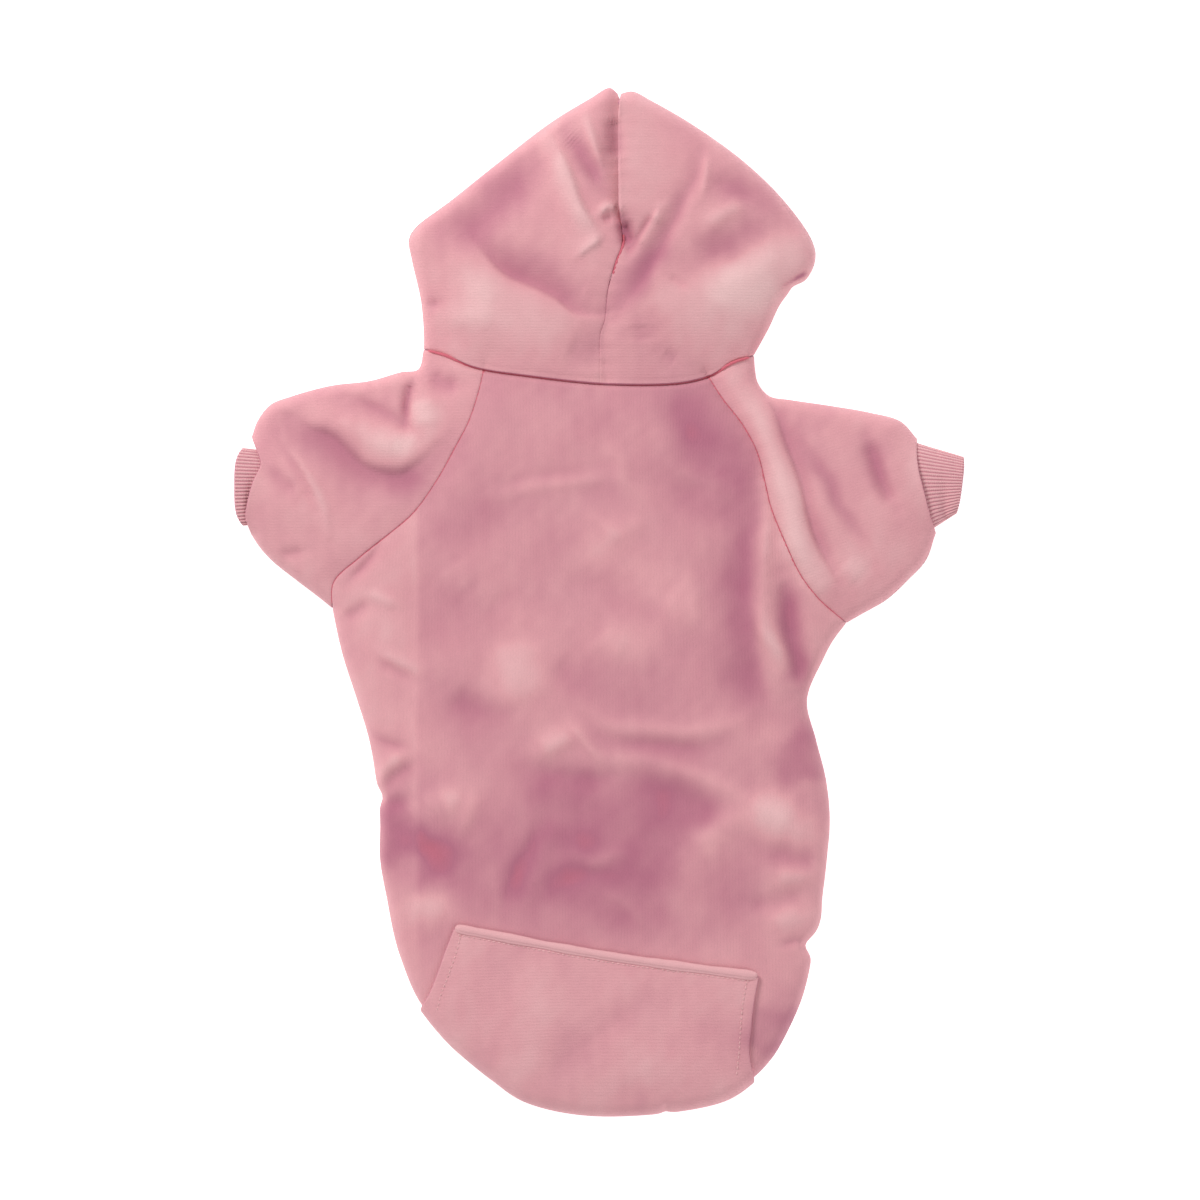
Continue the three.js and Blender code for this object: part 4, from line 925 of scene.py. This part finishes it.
def knit_material(name, colours, line_pitch, line_strength, fuzz):
    """Knitted cloth in five colours: painted highlight on crests, light and middle tones of the pile,
    painted shade and deep painted shade in folds and hollows, with fine lines and fibres.
    """
    highlight_colour, light, middle, shade_colour, deep_shade_colour = colours
    made = bpy.data.materials.new(name)
    made.use_nodes = True
    tree = made.node_tree
    tree.nodes.clear()
    place = add_node(tree, "ShaderNodeUVMap", uv_map="knit").outputs[0]
    parts = add_node(tree, "ShaderNodeSeparateXYZ", {0: place})
    coarse = noise(tree, place, 0.03, 3.0, 0.55)
    patchy = noise(tree, place, 0.22, 3.0, 0.6)
    fibre = noise(tree, place, 1.5, 4.0, 0.7)
    wander = maths(tree, "MULTIPLY", patchy, 3.0)
    run = maths(tree, "MULTIPLY_ADD", parts.outputs[1], 2 * math.pi / line_pitch, wander)
    lines = maths(tree, "SINE", run)
    fold = add_node(tree, "ShaderNodeAttribute", attribute_name="fold").outputs["Fac"]
    # The fold attribute paints shade into hollows and highlight onto crests; the coarse noise is random tone
    # of the pile
    painted_shade = ramp(tree, fold, 0.0, 1.0, 1.0)
    painted_deep_shade = ramp(tree, fold, 1.0, 1.6, 0.9)
    painted_highlight = ramp(tree, fold, 0.0, -0.9, 0.9)
    spots = ramp(tree, coarse, 0.3, 0.7, 0.3)
    colour = mixed(tree, spots, middle, light)
    colour = mixed(tree, painted_highlight, colour, highlight_colour)
    colour = mixed(tree, painted_shade, colour, shade_colour)
    colour = mixed(tree, painted_deep_shade, colour, deep_shade_colour)
    grain = maths(tree, "MULTIPLY_ADD", fibre, 0.32, 0.84)
    grain = maths(tree, "MULTIPLY_ADD", lines, 0.018 * line_strength, grain)
    grain = maths(tree, "MULTIPLY_ADD", patchy, 0.08, maths(tree, "SUBTRACT", grain, 0.04))
    shade = add_node(tree, "ShaderNodeCombineColor", {0: grain, 1: grain, 2: grain}).outputs[0]
    colour = mixed(tree, 1.0, colour, shade, "MULTIPLY")
    fibres_up = maths(tree, "MULTIPLY", fibre, fuzz)
    relief = maths(tree, "MULTIPLY_ADD", lines, 0.3 * line_strength, fibres_up)
    bump = add_node(tree, "ShaderNodeBump", {"Height": relief, "Strength": 0.55, "Distance": 0.0004})
    shader = add_node(tree, "ShaderNodeBsdfPrincipled", {
        "Base Color": colour,
        "Normal": bump.outputs[0],
        "Roughness": 0.95,
        "Specular IOR Level": 0.15,
        "Sheen Weight": 0.32,
        "Sheen Roughness": 0.45,
        "Sheen Tint": (1.0, 0.86, 0.88, 1.0),
    })
    output = add_node(tree, "ShaderNodeOutputMaterial")
    tree.links.new(shader.outputs[0], output.inputs[0])
    return made


# The brightest pink is painted highlight on crests (and a light tone of the thread); the last two pinks are
# painted shade in folds, hollows and seams
BRIGHT_PINK = (0.93, 0.61, 0.607, 1.0)
LIGHT_PINK = (0.87, 0.49, 0.505, 1.0)
MIDDLE_PINK = (0.785, 0.372, 0.41, 1.0)
SHADE_PINK = (0.51, 0.178, 0.258, 1.0)
DEEP_SHADE_PINK = (0.72, 0.16, 0.21, 1.0)
PINKS = (BRIGHT_PINK, LIGHT_PINK, MIDDLE_PINK, SHADE_PINK, DEEP_SHADE_PINK)
fleece = knit_material("fleece", PINKS, 1.4, 0.35, 1.2)
rib_knit = knit_material("rib_knit", PINKS, 0.8, 0.8, 0.7)
THREAD_PINKS = (BRIGHT_PINK, BRIGHT_PINK, LIGHT_PINK, MIDDLE_PINK, SHADE_PINK)
thread = knit_material("thread", THREAD_PINKS, 0.5, 1.0, 0.4)

# Panels


def grid(rows, columns, ring=False):
    v, u = np.meshgrid(
        np.linspace(0, 1, rows), np.linspace(0, 1, columns, endpoint=not ring), indexing="ij"
    )
    return u, v


def crowd_ends(share, amount):
    """Shares from 0 to 1 that lie closer together near both ends."""
    return share - amount * np.sin(2 * math.pi * share) / (2 * math.pi)


def wrap_at(share):
    return SIDE_WRAP * smooth(share, 0, 0.16) * smooth(1 - share, 0, 0.16)


def past_edge(start, end, wrap=wrap_at, count=400):
    """Part of the body edge, moved out by the cloth that is turned under there."""
    shares = np.linspace(start, end, count)
    p = body_edge.at(shares)
    ahead = unit(body_edge.at(shares + 1e-3) - body_edge.at(shares - 1e-3))
    return Path(p + np.stack([ahead[:, 1], -ahead[:, 0]], -1) * wrap(shares)[:, None])


def back_panel():
    u, v = grid(262, 150)
    top = spread_out(stretch(neck_under, RAGLAN_START_LEFT, RAGLAN_START_RIGHT))
    left = chain(spread_out(aside(raglan_left, inset)), past_edge(0.004, TAIL_START))
    right = chain(spread_out(aside(raglan_right, -inset)), past_edge(0.996, 1 - TAIL_START))
    foot = past_edge(TAIL_START, 1 - TAIL_START)
    spread = patch(top, foot, left, right, crowd_ends(u, 0.3), crowd_ends(v, 0.4))
    xyz = turned_over(spread)
    across, up = xyz[..., 0], xyz[..., 1]
    # Painted shade over the middle of the back
    middle_shade = smooth(across, *BACK_SHADE_LEFT) * (1 - smooth(across, *BACK_SHADE_RIGHT)) * smooth(up, *BACK_SHADE_LOW)
    xyz[..., 3] += BACK_SHADE * middle_shade
    piece = cloth("back_panel_cloth", xyz, spread[..., ::-1], CLOTH, fleece, flip=True)
    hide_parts("back_panel")
    return piece


def to_belly(shares):
    """The belly starts inside the outline, where the cloth of the back that is turned under ends."""
    wrap = wrap_at(shares)
    return -(wrap * squeeze(wrap) + 2 * inset)


def belly_panel():
    u, v = grid(100, 64)
    hem = BELLY_SHARE * TAIL_START
    top = aside(stretch(throat_seam, RAGLAN_START_LEFT, RAGLAN_START_RIGHT), -inset)
    left = chain(aside(under_raglan_left, inset), past_edge(0.006, hem, to_belly, 200))
    right = chain(aside(under_raglan_right, -inset), past_edge(0.994, 1 - hem, to_belly, 200))
    foot = curved([left.at(1), (left.at(1) + right.at(1)) / 2 + (0, 6), right.at(1)])
    spread = patch(top, foot, left, right, crowd_ends(u, 0.3), v)
    piece = cloth("belly_panel_cloth", on_floor(spread), spread[..., ::-1], CLOTH, fleece)
    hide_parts("belly_panel")
    return piece


def between(path, first, last, reach=0.12):
    """The path bent near its ends so that it starts and stops at the given points."""
    even = path.at(np.linspace(0, 1, 500))
    share = np.linspace(0, 1, 500)[:, None]
    start = smooth(1 - share / reach, 0, 1) * (np.asarray(first) - even[0])
    stop = smooth(1 - (1 - share) / reach, 0, 1) * (np.asarray(last) - even[-1])
    return Path(even + start + stop)


def sleeve(name, edges, raglan_seam, under_seam, neck_end, start):
    side = edges["side"]
    u, v = grid(84, 220, ring=True)
    inward = -side * inset
    neck_part = stretch(neck_under, start, neck_end)
    throat_part = stretch(throat_seam, start, neck_end)
    base = chain(aside(backwards(raglan_seam), inward), neck_part)
    under_base = aside(chain(backwards(under_seam), throat_part), inward)
    first = edges["lower"].at(inset / edges["lower"].length)
    last = edges["upper"].at(inset / edges["upper"].length)
    base, under_base = between(base, first, last), between(under_base, first, last)
    end_line = RIGHT_SLEEVE_END if side > 0 else LEFT_SLEEVE_END
    end = curved([edges["lower"].at(1)] + end_line + [edges["upper"].at(1)])
    share = (1 - np.cos(2 * math.pi * u)) / 2
    above = patch(base, end, edges["lower"], edges["upper"], share, v, SLEEVE_LEAN)
    below = patch(under_base, end, edges["lower"], edges["upper"], share, v, SLEEVE_LEAN)
    top = on_top(above)
    mouth = smooth(v, 0.78, 1.0)
    opening_height = FOLD_HEIGHT + 11.0 * np.sqrt(np.clip(1 - (2 * share - 1) ** 2, 0, 1))
    top[..., 2] = lerp(top[..., 2], np.minimum(top[..., 2], opening_height), mouth)
    xyz = np.where((u < 0.5)[..., None], top, on_floor(below))
    knit = np.where((u < 0.5)[..., None], above, 2 * end.at(share) - below)
    if side > 0:
        out, up = knit[..., 0], knit[..., 1]
        knit = np.stack([out * 0.95 + up * 0.3, up * 0.95 - out * 0.3], -1)
    piece = cloth(name + "_cloth", xyz, knit, CLOTH, fleece, ring=True, flip=side > 0)
    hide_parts(name)
    return piece


def cuff(name, seam_lower, seam_upper, end_lower, end_upper, heights, floor, side, bulge):
    """A flattened ring of rib knit from its seam to its open end, with a bulge across its side."""
    rows, columns = 30, 8 * CUFF_RIBS
    dense = np.linspace(0, 1, 1441)
    grid_points = []
    for v in np.linspace(0, 1, rows):
        lower, upper = lerp(seam_lower, end_lower, v), lerp(seam_upper, end_upper, v)
        angle = 2 * math.pi * dense
        p = lower + (upper - lower) * ((1 - np.cos(angle)) / 2)[:, None]
        p[:, 0] -= side * bulge * np.cos(angle) ** 4
        half = lerp(heights[0], heights[1], v) / 2
        rise = np.sign(np.sin(angle)) * np.abs(np.sin(angle)) ** 0.7
        ring = np.column_stack([p, floor + half * (1 + rise)])
        along = np.concatenate([[0], np.cumsum(np.linalg.norm(np.diff(ring, axis=0), axis=1))])
        even = np.linspace(0, along[-1], columns, endpoint=False)
        grid_points.append(np.stack([np.interp(even, along, ring[:, k]) for k in range(3)], -1))
    xyz = np.array(grid_points)
    normal = grid_normals(xyz, True, side > 0)
    turn = np.arange(columns) / columns * CUFF_RIBS
    rib = np.abs(np.sin(math.pi * turn)) ** 0.8
    across = np.linspace(0, 1, rows)
    xyz = xyz + normal * (rib[None, :, None] - 0.5) * RIB_DEPTH
    dent = 1.8 * np.exp(-(((across[:, None] - 0.55) / 0.16) ** 2)) * smooth(NAPE[1] - xyz[..., 1], 40, 62)
    xyz[..., 2] -= dent * smooth(xyz[..., 2], floor + 5, floor + 9)
    # Painted shade in the grooves between the ribs and painted highlight on the ribs
    tone = np.broadcast_to((0.6 - rib)[None, :, None] * 1.2, (rows, columns, 1))
    surface = np.concatenate([xyz, tone], -1)
    knit = np.stack(np.broadcast_arrays(turn[None, :] * RIB_PITCH, across[:, None] * CUFF_LENGTH), -1)
    piece = cloth(name + "_knit", surface, knit, RIB_CLOTH, rib_knit, ring=True, flip=side > 0)
    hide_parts(name)
    return piece


def hood_panel(name, edge, side):
    u, v = grid(146, 204)
    throat_y = throat_seam.at(0.5)[1]
    forehead_y = NAPE[1] + FOREHEAD_UP * HOOD_HEIGHT
    seam_top_y = NAPE[1] + SEAM_TOP_UP * HOOD_HEIGHT
    middle = aside(hood_seam, -side * inset)
    peak_y = NAPE[1] + HOOD_HEIGHT
    high_up = smooth(middle.points[:, 1], 178, 190) * smooth(peak_y - middle.points[:, 1], 4, 12)
    to_left = inset + (1.0 if side > 0 else -2.0)
    middle = Path(middle.points - np.stack([high_up * to_left, 0 * high_up], -1))
    neck_half = stretch(neck_over, NAPE_SHARE, 0 if side < 0 else 1)
    throat_half = stretch(throat_seam, 0 if side < 0 else 1, NAPE_SHARE)

    def face_edge(v):
        y = lerp(throat_y, seam_top_y, v)
        share = np.clip((y - throat_y) / (forehead_y - throat_y), 0, 1)
        x = hood_seam.at(v)[..., 0] + side * (inset + FACE_OPENING_WIDTH / 2 * np.sin(math.pi * share))
        return np.stack([x, y + inset], -1)

    fold_share = 0.6
    ease = 0.3

    def from_fold(share):
        return share * np.abs(share) * (1 + ease) / (np.abs(share) + ease)

    fold = edge.at(v) + np.stack([side * (inset + 0.4) * v**30, -1.2 * v**30], -1)
    bend = (1 - v) ** 3
    lift_y = inset * np.where(u < fold_share, 0, bend)
    share_top = from_fold(np.clip(1 - u / fold_share, 0, 1))[..., None]
    share_low = from_fold(np.clip((u - fold_share) / (1 - fold_share), 0, 1))[..., None]
    top = lerp(fold, middle.at(v), share_top)
    to_neck = neck_half.at(1 - share_top[..., 0]) - lerp(edge.at(0), middle.at(0), share_top)
    top = top + to_neck * bend[..., None]
    low = lerp(fold, face_edge(v), share_low)
    chin = face_edge(np.zeros(1))[0]
    to_throat = throat_half.at(share_low[..., 0]) - lerp(edge.at(0), chin, share_low)
    low = low + to_throat * bend[..., None]
    shift = np.stack([0 * u, lift_y], -1)

    def beside_seam(p):
        """The right half stands over the seam near the peak and the left half dips there."""
        off = np.abs(p[..., 0] - np.interp(p[..., 1], hood_seam.points[:, 1], hood_seam.points[:, 0]))
        high_up = smooth(p[..., 1], 172, 186)
        if side > 0:
            return 2.6 * high_up * np.exp(-((off / 14) ** 2)) + 1.8 * high_up * np.exp(-off / 2.4)
        return -2.0 * high_up * np.exp(-((off / 9) ** 2))

    upper = on_top(top + shift, beside_seam, of_hood=True)
    xyz = np.where((u < fold_share)[..., None], upper, on_floor(low + shift))
    knit = np.where((u < fold_share)[..., None], top, 2 * fold - low)
    piece = cloth(name + "_cloth", xyz, knit, CLOTH, fleece, flip=side < 0)
    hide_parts(name)
    return piece


# Pocket
pocket_left = on_body(-0.648, POCKET_TOP)
pocket_right = on_body(0.7, POCKET_TOP + POCKET_SLANT / below_underarm)
pocket_top = curved([pocket_left, (pocket_left + pocket_right) / 2 + (0, -1.6), pocket_right])
POCKET_LEFT_EDGE = [(-70.8, -158.5), (-73.1, -167.3), (-76.5, -177), (-80.3, -187), (-82.5, -196)]
POCKET_RIGHT_EDGE = [(74.4, -182), (72.2, -196), (70.9, -215), (69.5, -229)]
stitch_left = aside(curved(POCKET_LEFT_EDGE), HEM)
stitch_right = aside(curved(POCKET_RIGHT_EDGE), -HEM)


def share_near(path, target):
    shares = np.linspace(0, 1, 4001)
    return shares[np.linalg.norm(path.at(shares) - np.asarray(target), axis=1).argmin()]


def pocket_panel():
    u, v = grid(90, 190)
    top_path = aside(pocket_top, -0.6)
    left = spread_out(curved([top_path.at(0)] + POCKET_LEFT_EDGE[1:]))
    right = spread_out(curved([top_path.at(1)] + POCKET_RIGHT_EDGE[1:]))
    start = share_near(body_edge, POCKET_LEFT_EDGE[-1])
    end = share_near(body_edge, POCKET_RIGHT_EDGE[-1])
    foot = past_edge(start, end, lambda s: 3.0 + 0 * s)
    left = curved([left.at(s) for s in (0, 0.25, 0.5, 0.75)] + [foot.at(0)])
    right = curved([right.at(s) for s in (0, 0.25, 0.5, 0.75)] + [foot.at(1)])
    spread = patch(spread_out(top_path), foot, left, right, u, v)

    def hems(p):
        """Shallow grooves where the side hems are stitched down."""
        flat = p.reshape(-1, 2)
        height = np.zeros(len(flat))
        for line in (stitch_left.points[::8], stitch_right.points[::8]):
            distance, _, share = beside(flat, line)
            run = share * stitch_left.length
            height -= (0.3 + 0.15 * np.cos(run * 2 * math.pi / STITCH_PITCH)) * np.exp(-distance / 0.8)
        return height.reshape(p.shape[:-1])

    xyz = turned_over(spread, hems)
    lift = POCKET_CLEARANCE + POCKET_CLOTH
    piece = cloth("pocket_panel_cloth", xyz, spread, POCKET_CLOTH, fleece, flip=True, lift=lift)
    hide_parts("pocket_panel")
    return piece


def pocket_roll():
    rows, sides = 240, 28
    shares = np.linspace(0, 1, rows)
    centre = pocket_top.at(shares)
    ahead = unit(np.gradient(centre, axis=0))
    across = np.stack([-ahead[:, 1], ahead[:, 0]], -1)
    base = on_top(centre)[:, 2]
    angle = np.linspace(0, 2 * math.pi, sides, endpoint=False)
    ends = np.sqrt(np.clip(1 - (np.abs(2 * shares - 1) ** 60), 0.02, 1))
    wobble = 1 + 0.08 * ripple(centre, 30, 31) + 0.05 * ripple(centre, 9, 32)
    width = ROLL_WIDTH / 2 * ends * wobble
    height = ROLL_HEIGHT / 2 * ends * wobble
    flat = across[:, None] * (np.cos(angle)[None, :] * width[:, None])[..., None]
    p = centre[:, None] + flat
    rise = base[:, None] + POCKET_CLEARANCE + ROLL_HEIGHT / 2 + np.sin(angle)[None] * height[:, None]
    crease = 0.35 * np.exp(-(((angle[None] - 2.2) / 0.3) ** 2)) * np.ones((rows, 1))
    xyz = np.concatenate([p, (rise - crease)[..., None]], -1).reshape(-1, 3)
    index = np.arange(rows * sides).reshape(rows, sides)
    index = np.concatenate([index, index[:, :1]], 1)
    faces = [np.stack([index[:-1, :-1], index[:-1, 1:], index[1:, 1:], index[1:, :-1]], -1).reshape(-1, 4)]
    caps = np.array([xyz[:sides].mean(0), xyz[-sides:].mean(0)])
    xyz = np.concatenate([xyz, caps])
    last = rows * sides
    first_ring, last_ring = index[0], index[-1]
    tip = np.full(sides, last)
    faces.append(np.stack([first_ring[1:], first_ring[:-1], tip, tip], -1))
    faces.append(np.stack([last_ring[:-1], last_ring[1:], tip + 1, tip + 1], -1))
    knit = np.zeros((len(xyz), 2))
    knit[:last, 0] = np.repeat(shares * pocket_top.length, sides)
    knit[:last, 1] = np.tile(angle * ROLL_WIDTH / 2, rows)
    tone = np.zeros(len(xyz))
    # Painted shade on the underside of the roll and painted highlight on its top
    tone[:last] = np.tile(np.where(np.sin(angle) < 0.1, 0.5, -0.3), rows)
    faces = np.concatenate(faces)
    triangles = np.concatenate([faces[:, [0, 1, 2]], faces[faces[:, 2] != faces[:, 3]][:, [0, 2, 3]]])
    piece = build_mesh("pocket_roll_cloth", xyz, triangles, fleece, tone, knit)
    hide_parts("pocket_roll")


# Stitches, and deep pink cords of painted shade in the seam grooves


def tubes(name, lines, radius, sides, material, tone, end_sharpness):
    """Round strips as one piece, one along each line of points, with rounded ends."""
    points, faces, knits = [], [], []
    angle = np.linspace(0, 2 * math.pi, sides, endpoint=False)
    count = 0
    for line in lines:
        t = np.linspace(-1, 1, len(line))
        ahead = unit(np.gradient(line, axis=0))
        across = unit(np.cross(ahead, (0, 0, 1.0)))
        up = np.cross(across, ahead)
        thickness = radius * np.sqrt(np.clip(1 - np.abs(t) ** end_sharpness, 0.1, 1))
        ring = np.cos(angle)[None, :, None] * across[:, None] + np.sin(angle)[None, :, None] * up[:, None]
        made = (line[:, None] + ring * thickness[:, None, None]).reshape(-1, 3)
        index = np.arange(len(line) * sides).reshape(len(line), sides) + count
        index = np.concatenate([index, index[:, :1]], 1)
        quads = np.stack([index[:-1, :-1], index[:-1, 1:], index[1:, 1:], index[1:, :-1]], -1).reshape(-1, 4)
        caps = [(index[0, 0], index[0, k + 1], index[0, k]) for k in range(1, sides - 1)]
        caps += [(index[-1, 0], index[-1, k], index[-1, k + 1]) for k in range(1, sides - 1)]
        faces += [quads[:, [0, 1, 2]], quads[:, [0, 2, 3]], np.array(caps)]
        points.append(made)
        knits.append(made[:, :2])
        count += len(made)
    points = np.concatenate(points)
    tone = np.full(len(points), tone)
    build_mesh(name, points, np.concatenate(faces), material, tone, np.concatenate(knits))


def stitch(p, q):
    """The middle line of one stitch, a thread from p to q that dips into the cloth at both ends."""
    t = np.linspace(0, 1, 6)
    line = p + (q - p) * t[:, None]
    line[:, 2] += 0.1 - 0.5 * (2 * t - 1) ** 4
    return line


def stitches(path):
    """Stitches at an even pitch along a path that lies on the pocket."""
    count = int(path.length / STITCH_PITCH)
    draw = np.random.default_rng(int(path.length * 10))
    lines = []
    starts = (np.arange(count) + 0.2) * STITCH_PITCH / path.length
    for start in starts:
        start += draw.normal(0, 0.12) / path.length
        ends = on_top(path.at(np.array([start, start + STITCH_LENGTH / path.length])))[:, :3]
        ends[:, 2] += on_pocket
        lines.append(stitch(ends[0], ends[1]))
    return lines


def seam_shade_cord(path, start, end, lift):
    """A deep pink cord of painted shade laid in the groove of a seam, from one share of the path to another.
    """
    count = max(8, int(path.length * (end - start) / 0.8))
    line = on_top(path.at(np.linspace(start, end, count)))[:, :3]
    line[:, 2] += lift
    return line


# Pieces
back = back_panel()
belly = belly_panel()
sleeve_l = sleeve("left_sleeve", left_edges, raglan_left, under_raglan_left, 0, RAGLAN_START_LEFT)
sleeve_r = sleeve("right_sleeve", right_edges, raglan_right, under_raglan_right, 1, RAGLAN_START_RIGHT)
left_start = left_edges["cuff_upper"][0] + CUFF_LENGTH
cuff_l = cuff(
    "left_cuff",
    np.array([left_start, left_edges["cuff_lower"][1] + 2]),
    np.array([left_start, left_edges["cuff_upper"][1] - 2]),
    left_edges["cuff_lower"],
    left_edges["cuff_upper"],
    heights=(CUFF_HEIGHT * 0.7, CUFF_HEIGHT * 0.7),
    floor=2.6,
    side=-1,
    bulge=3.5,
)
cuff_r = cuff(
    "right_cuff",
    right_edges["lower"].at(1) + (-2.5, 1.5),
    right_edges["upper"].at(1) + (-2.5, -1.5),
    right_edges["cuff_lower"],
    right_edges["cuff_upper"],
    heights=(CUFF_HEIGHT * 0.8, CUFF_HEIGHT * 0.72),
    floor=0.6,
    side=1,
    bulge=0.6,
)
hood_l = hood_panel("hood_left_panel", hood_edge_left, -1)
hood_r = hood_panel("hood_right_panel", hood_edge_right, 1)
pocket = pocket_panel()
pocket_roll()
on_pocket = POCKET_CLEARANCE + POCKET_CLOTH - 0.1
under_roll = aside(stretch(pocket_top, 0.01, 0.99), -ROLL_WIDTH / 2 - 0.5)
tubes(
    "pocket_stitches",
    stitches(stitch_left) + stitches(stitch_right) + stitches(under_roll),
    THREAD_RADIUS, sides=6, material=thread, tone=0.0, end_sharpness=6,
)
# Deep pink cords laid in the seam grooves: painted shade of the grooves
tubes(
    "seam_shade_cords",
    [
        seam_shade_cord(raglan_left, 0.02, 0.985, -0.75),
        seam_shade_cord(raglan_right, 0.02, 0.985, -0.75),
        seam_shade_cord(hood_seam, 0.02, 0.64, -0.5),
        seam_shade_cord(aside(neck_over, -0.6), 0.015, 0.985, 0.2),
    ],
    SEAM_SHADE_CORD_RADIUS, sides=8, material=fleece, tone=1.6, end_sharpness=60,
)

# Floor, lights and camera, in metres
FLOOR = 6.0
floor_corners = [(-FLOOR, -FLOOR, 0), (FLOOR, -FLOOR, 0), (FLOOR, FLOOR, 0), (-FLOOR, FLOOR, 0)]
floor_mesh = bpy.data.meshes.new("floor")
floor_mesh.from_pydata(floor_corners, [], [(0, 1, 2, 3)])
floor = bpy.data.objects.new("floor", floor_mesh)
bpy.context.scene.collection.objects.link(floor)
floor_look = bpy.data.materials.new("floor_white")
floor_look.use_nodes = True
floor_shader = floor_look.node_tree.nodes["Principled BSDF"]
floor_shader.inputs["Base Color"].default_value = (0.93, 0.93, 0.93, 1)
floor_shader.inputs["Roughness"].default_value = 0.9
floor_shader.inputs["Emission Color"].default_value = (1, 1, 1, 1)
floor_shader.inputs["Emission Strength"].default_value = 0.7
floor_mesh.materials.append(floor_look)


def area_light(name, place, size, power, colour):
    """A square light that shines on the hoodie."""
    data = bpy.data.lights.new(name, "AREA")
    data.energy = power
    data.size = size
    data.color = colour
    lamp = bpy.data.objects.new(name, data)
    lamp.location = place
    lamp.rotation_euler = (-Vector(place)).to_track_quat("-Z", "Y").to_euler()
    bpy.context.scene.collection.objects.link(lamp)


area_light("key", (-2.1, 2.5, 2.5), 1.2, 103.0, (1.0, 0.99, 0.98))
area_light("fill", (1.5, -0.9, 1.6), 1.8, 13.0, (0.99, 0.98, 1.0))
world = bpy.data.worlds.new("studio")
world.use_nodes = True
background = world.node_tree.nodes["Background"]
background.inputs["Color"].default_value = (1.0, 1.0, 1.0, 1)
background.inputs["Strength"].default_value = 0.43
bpy.context.scene.world = world
bpy.context.scene.view_settings.view_transform = "Standard"

CAMERA_HEIGHT = 3.0
VIEW_WIDTH = 0.5736
VIEW_LEVEL = 0.012
SENSOR = 36
camera_data = bpy.data.cameras.new("camera")
camera_data.sensor_width = SENSOR
camera_data.lens = SENSOR * (CAMERA_HEIGHT - VIEW_LEVEL) / VIEW_WIDTH
camera_data.clip_end = 20
camera = bpy.data.objects.new("camera", camera_data)
camera.location = (0, PART_STEP[1] * 0.001, CAMERA_HEIGHT)
bpy.context.scene.collection.objects.link(camera)
bpy.context.scene.camera = camera
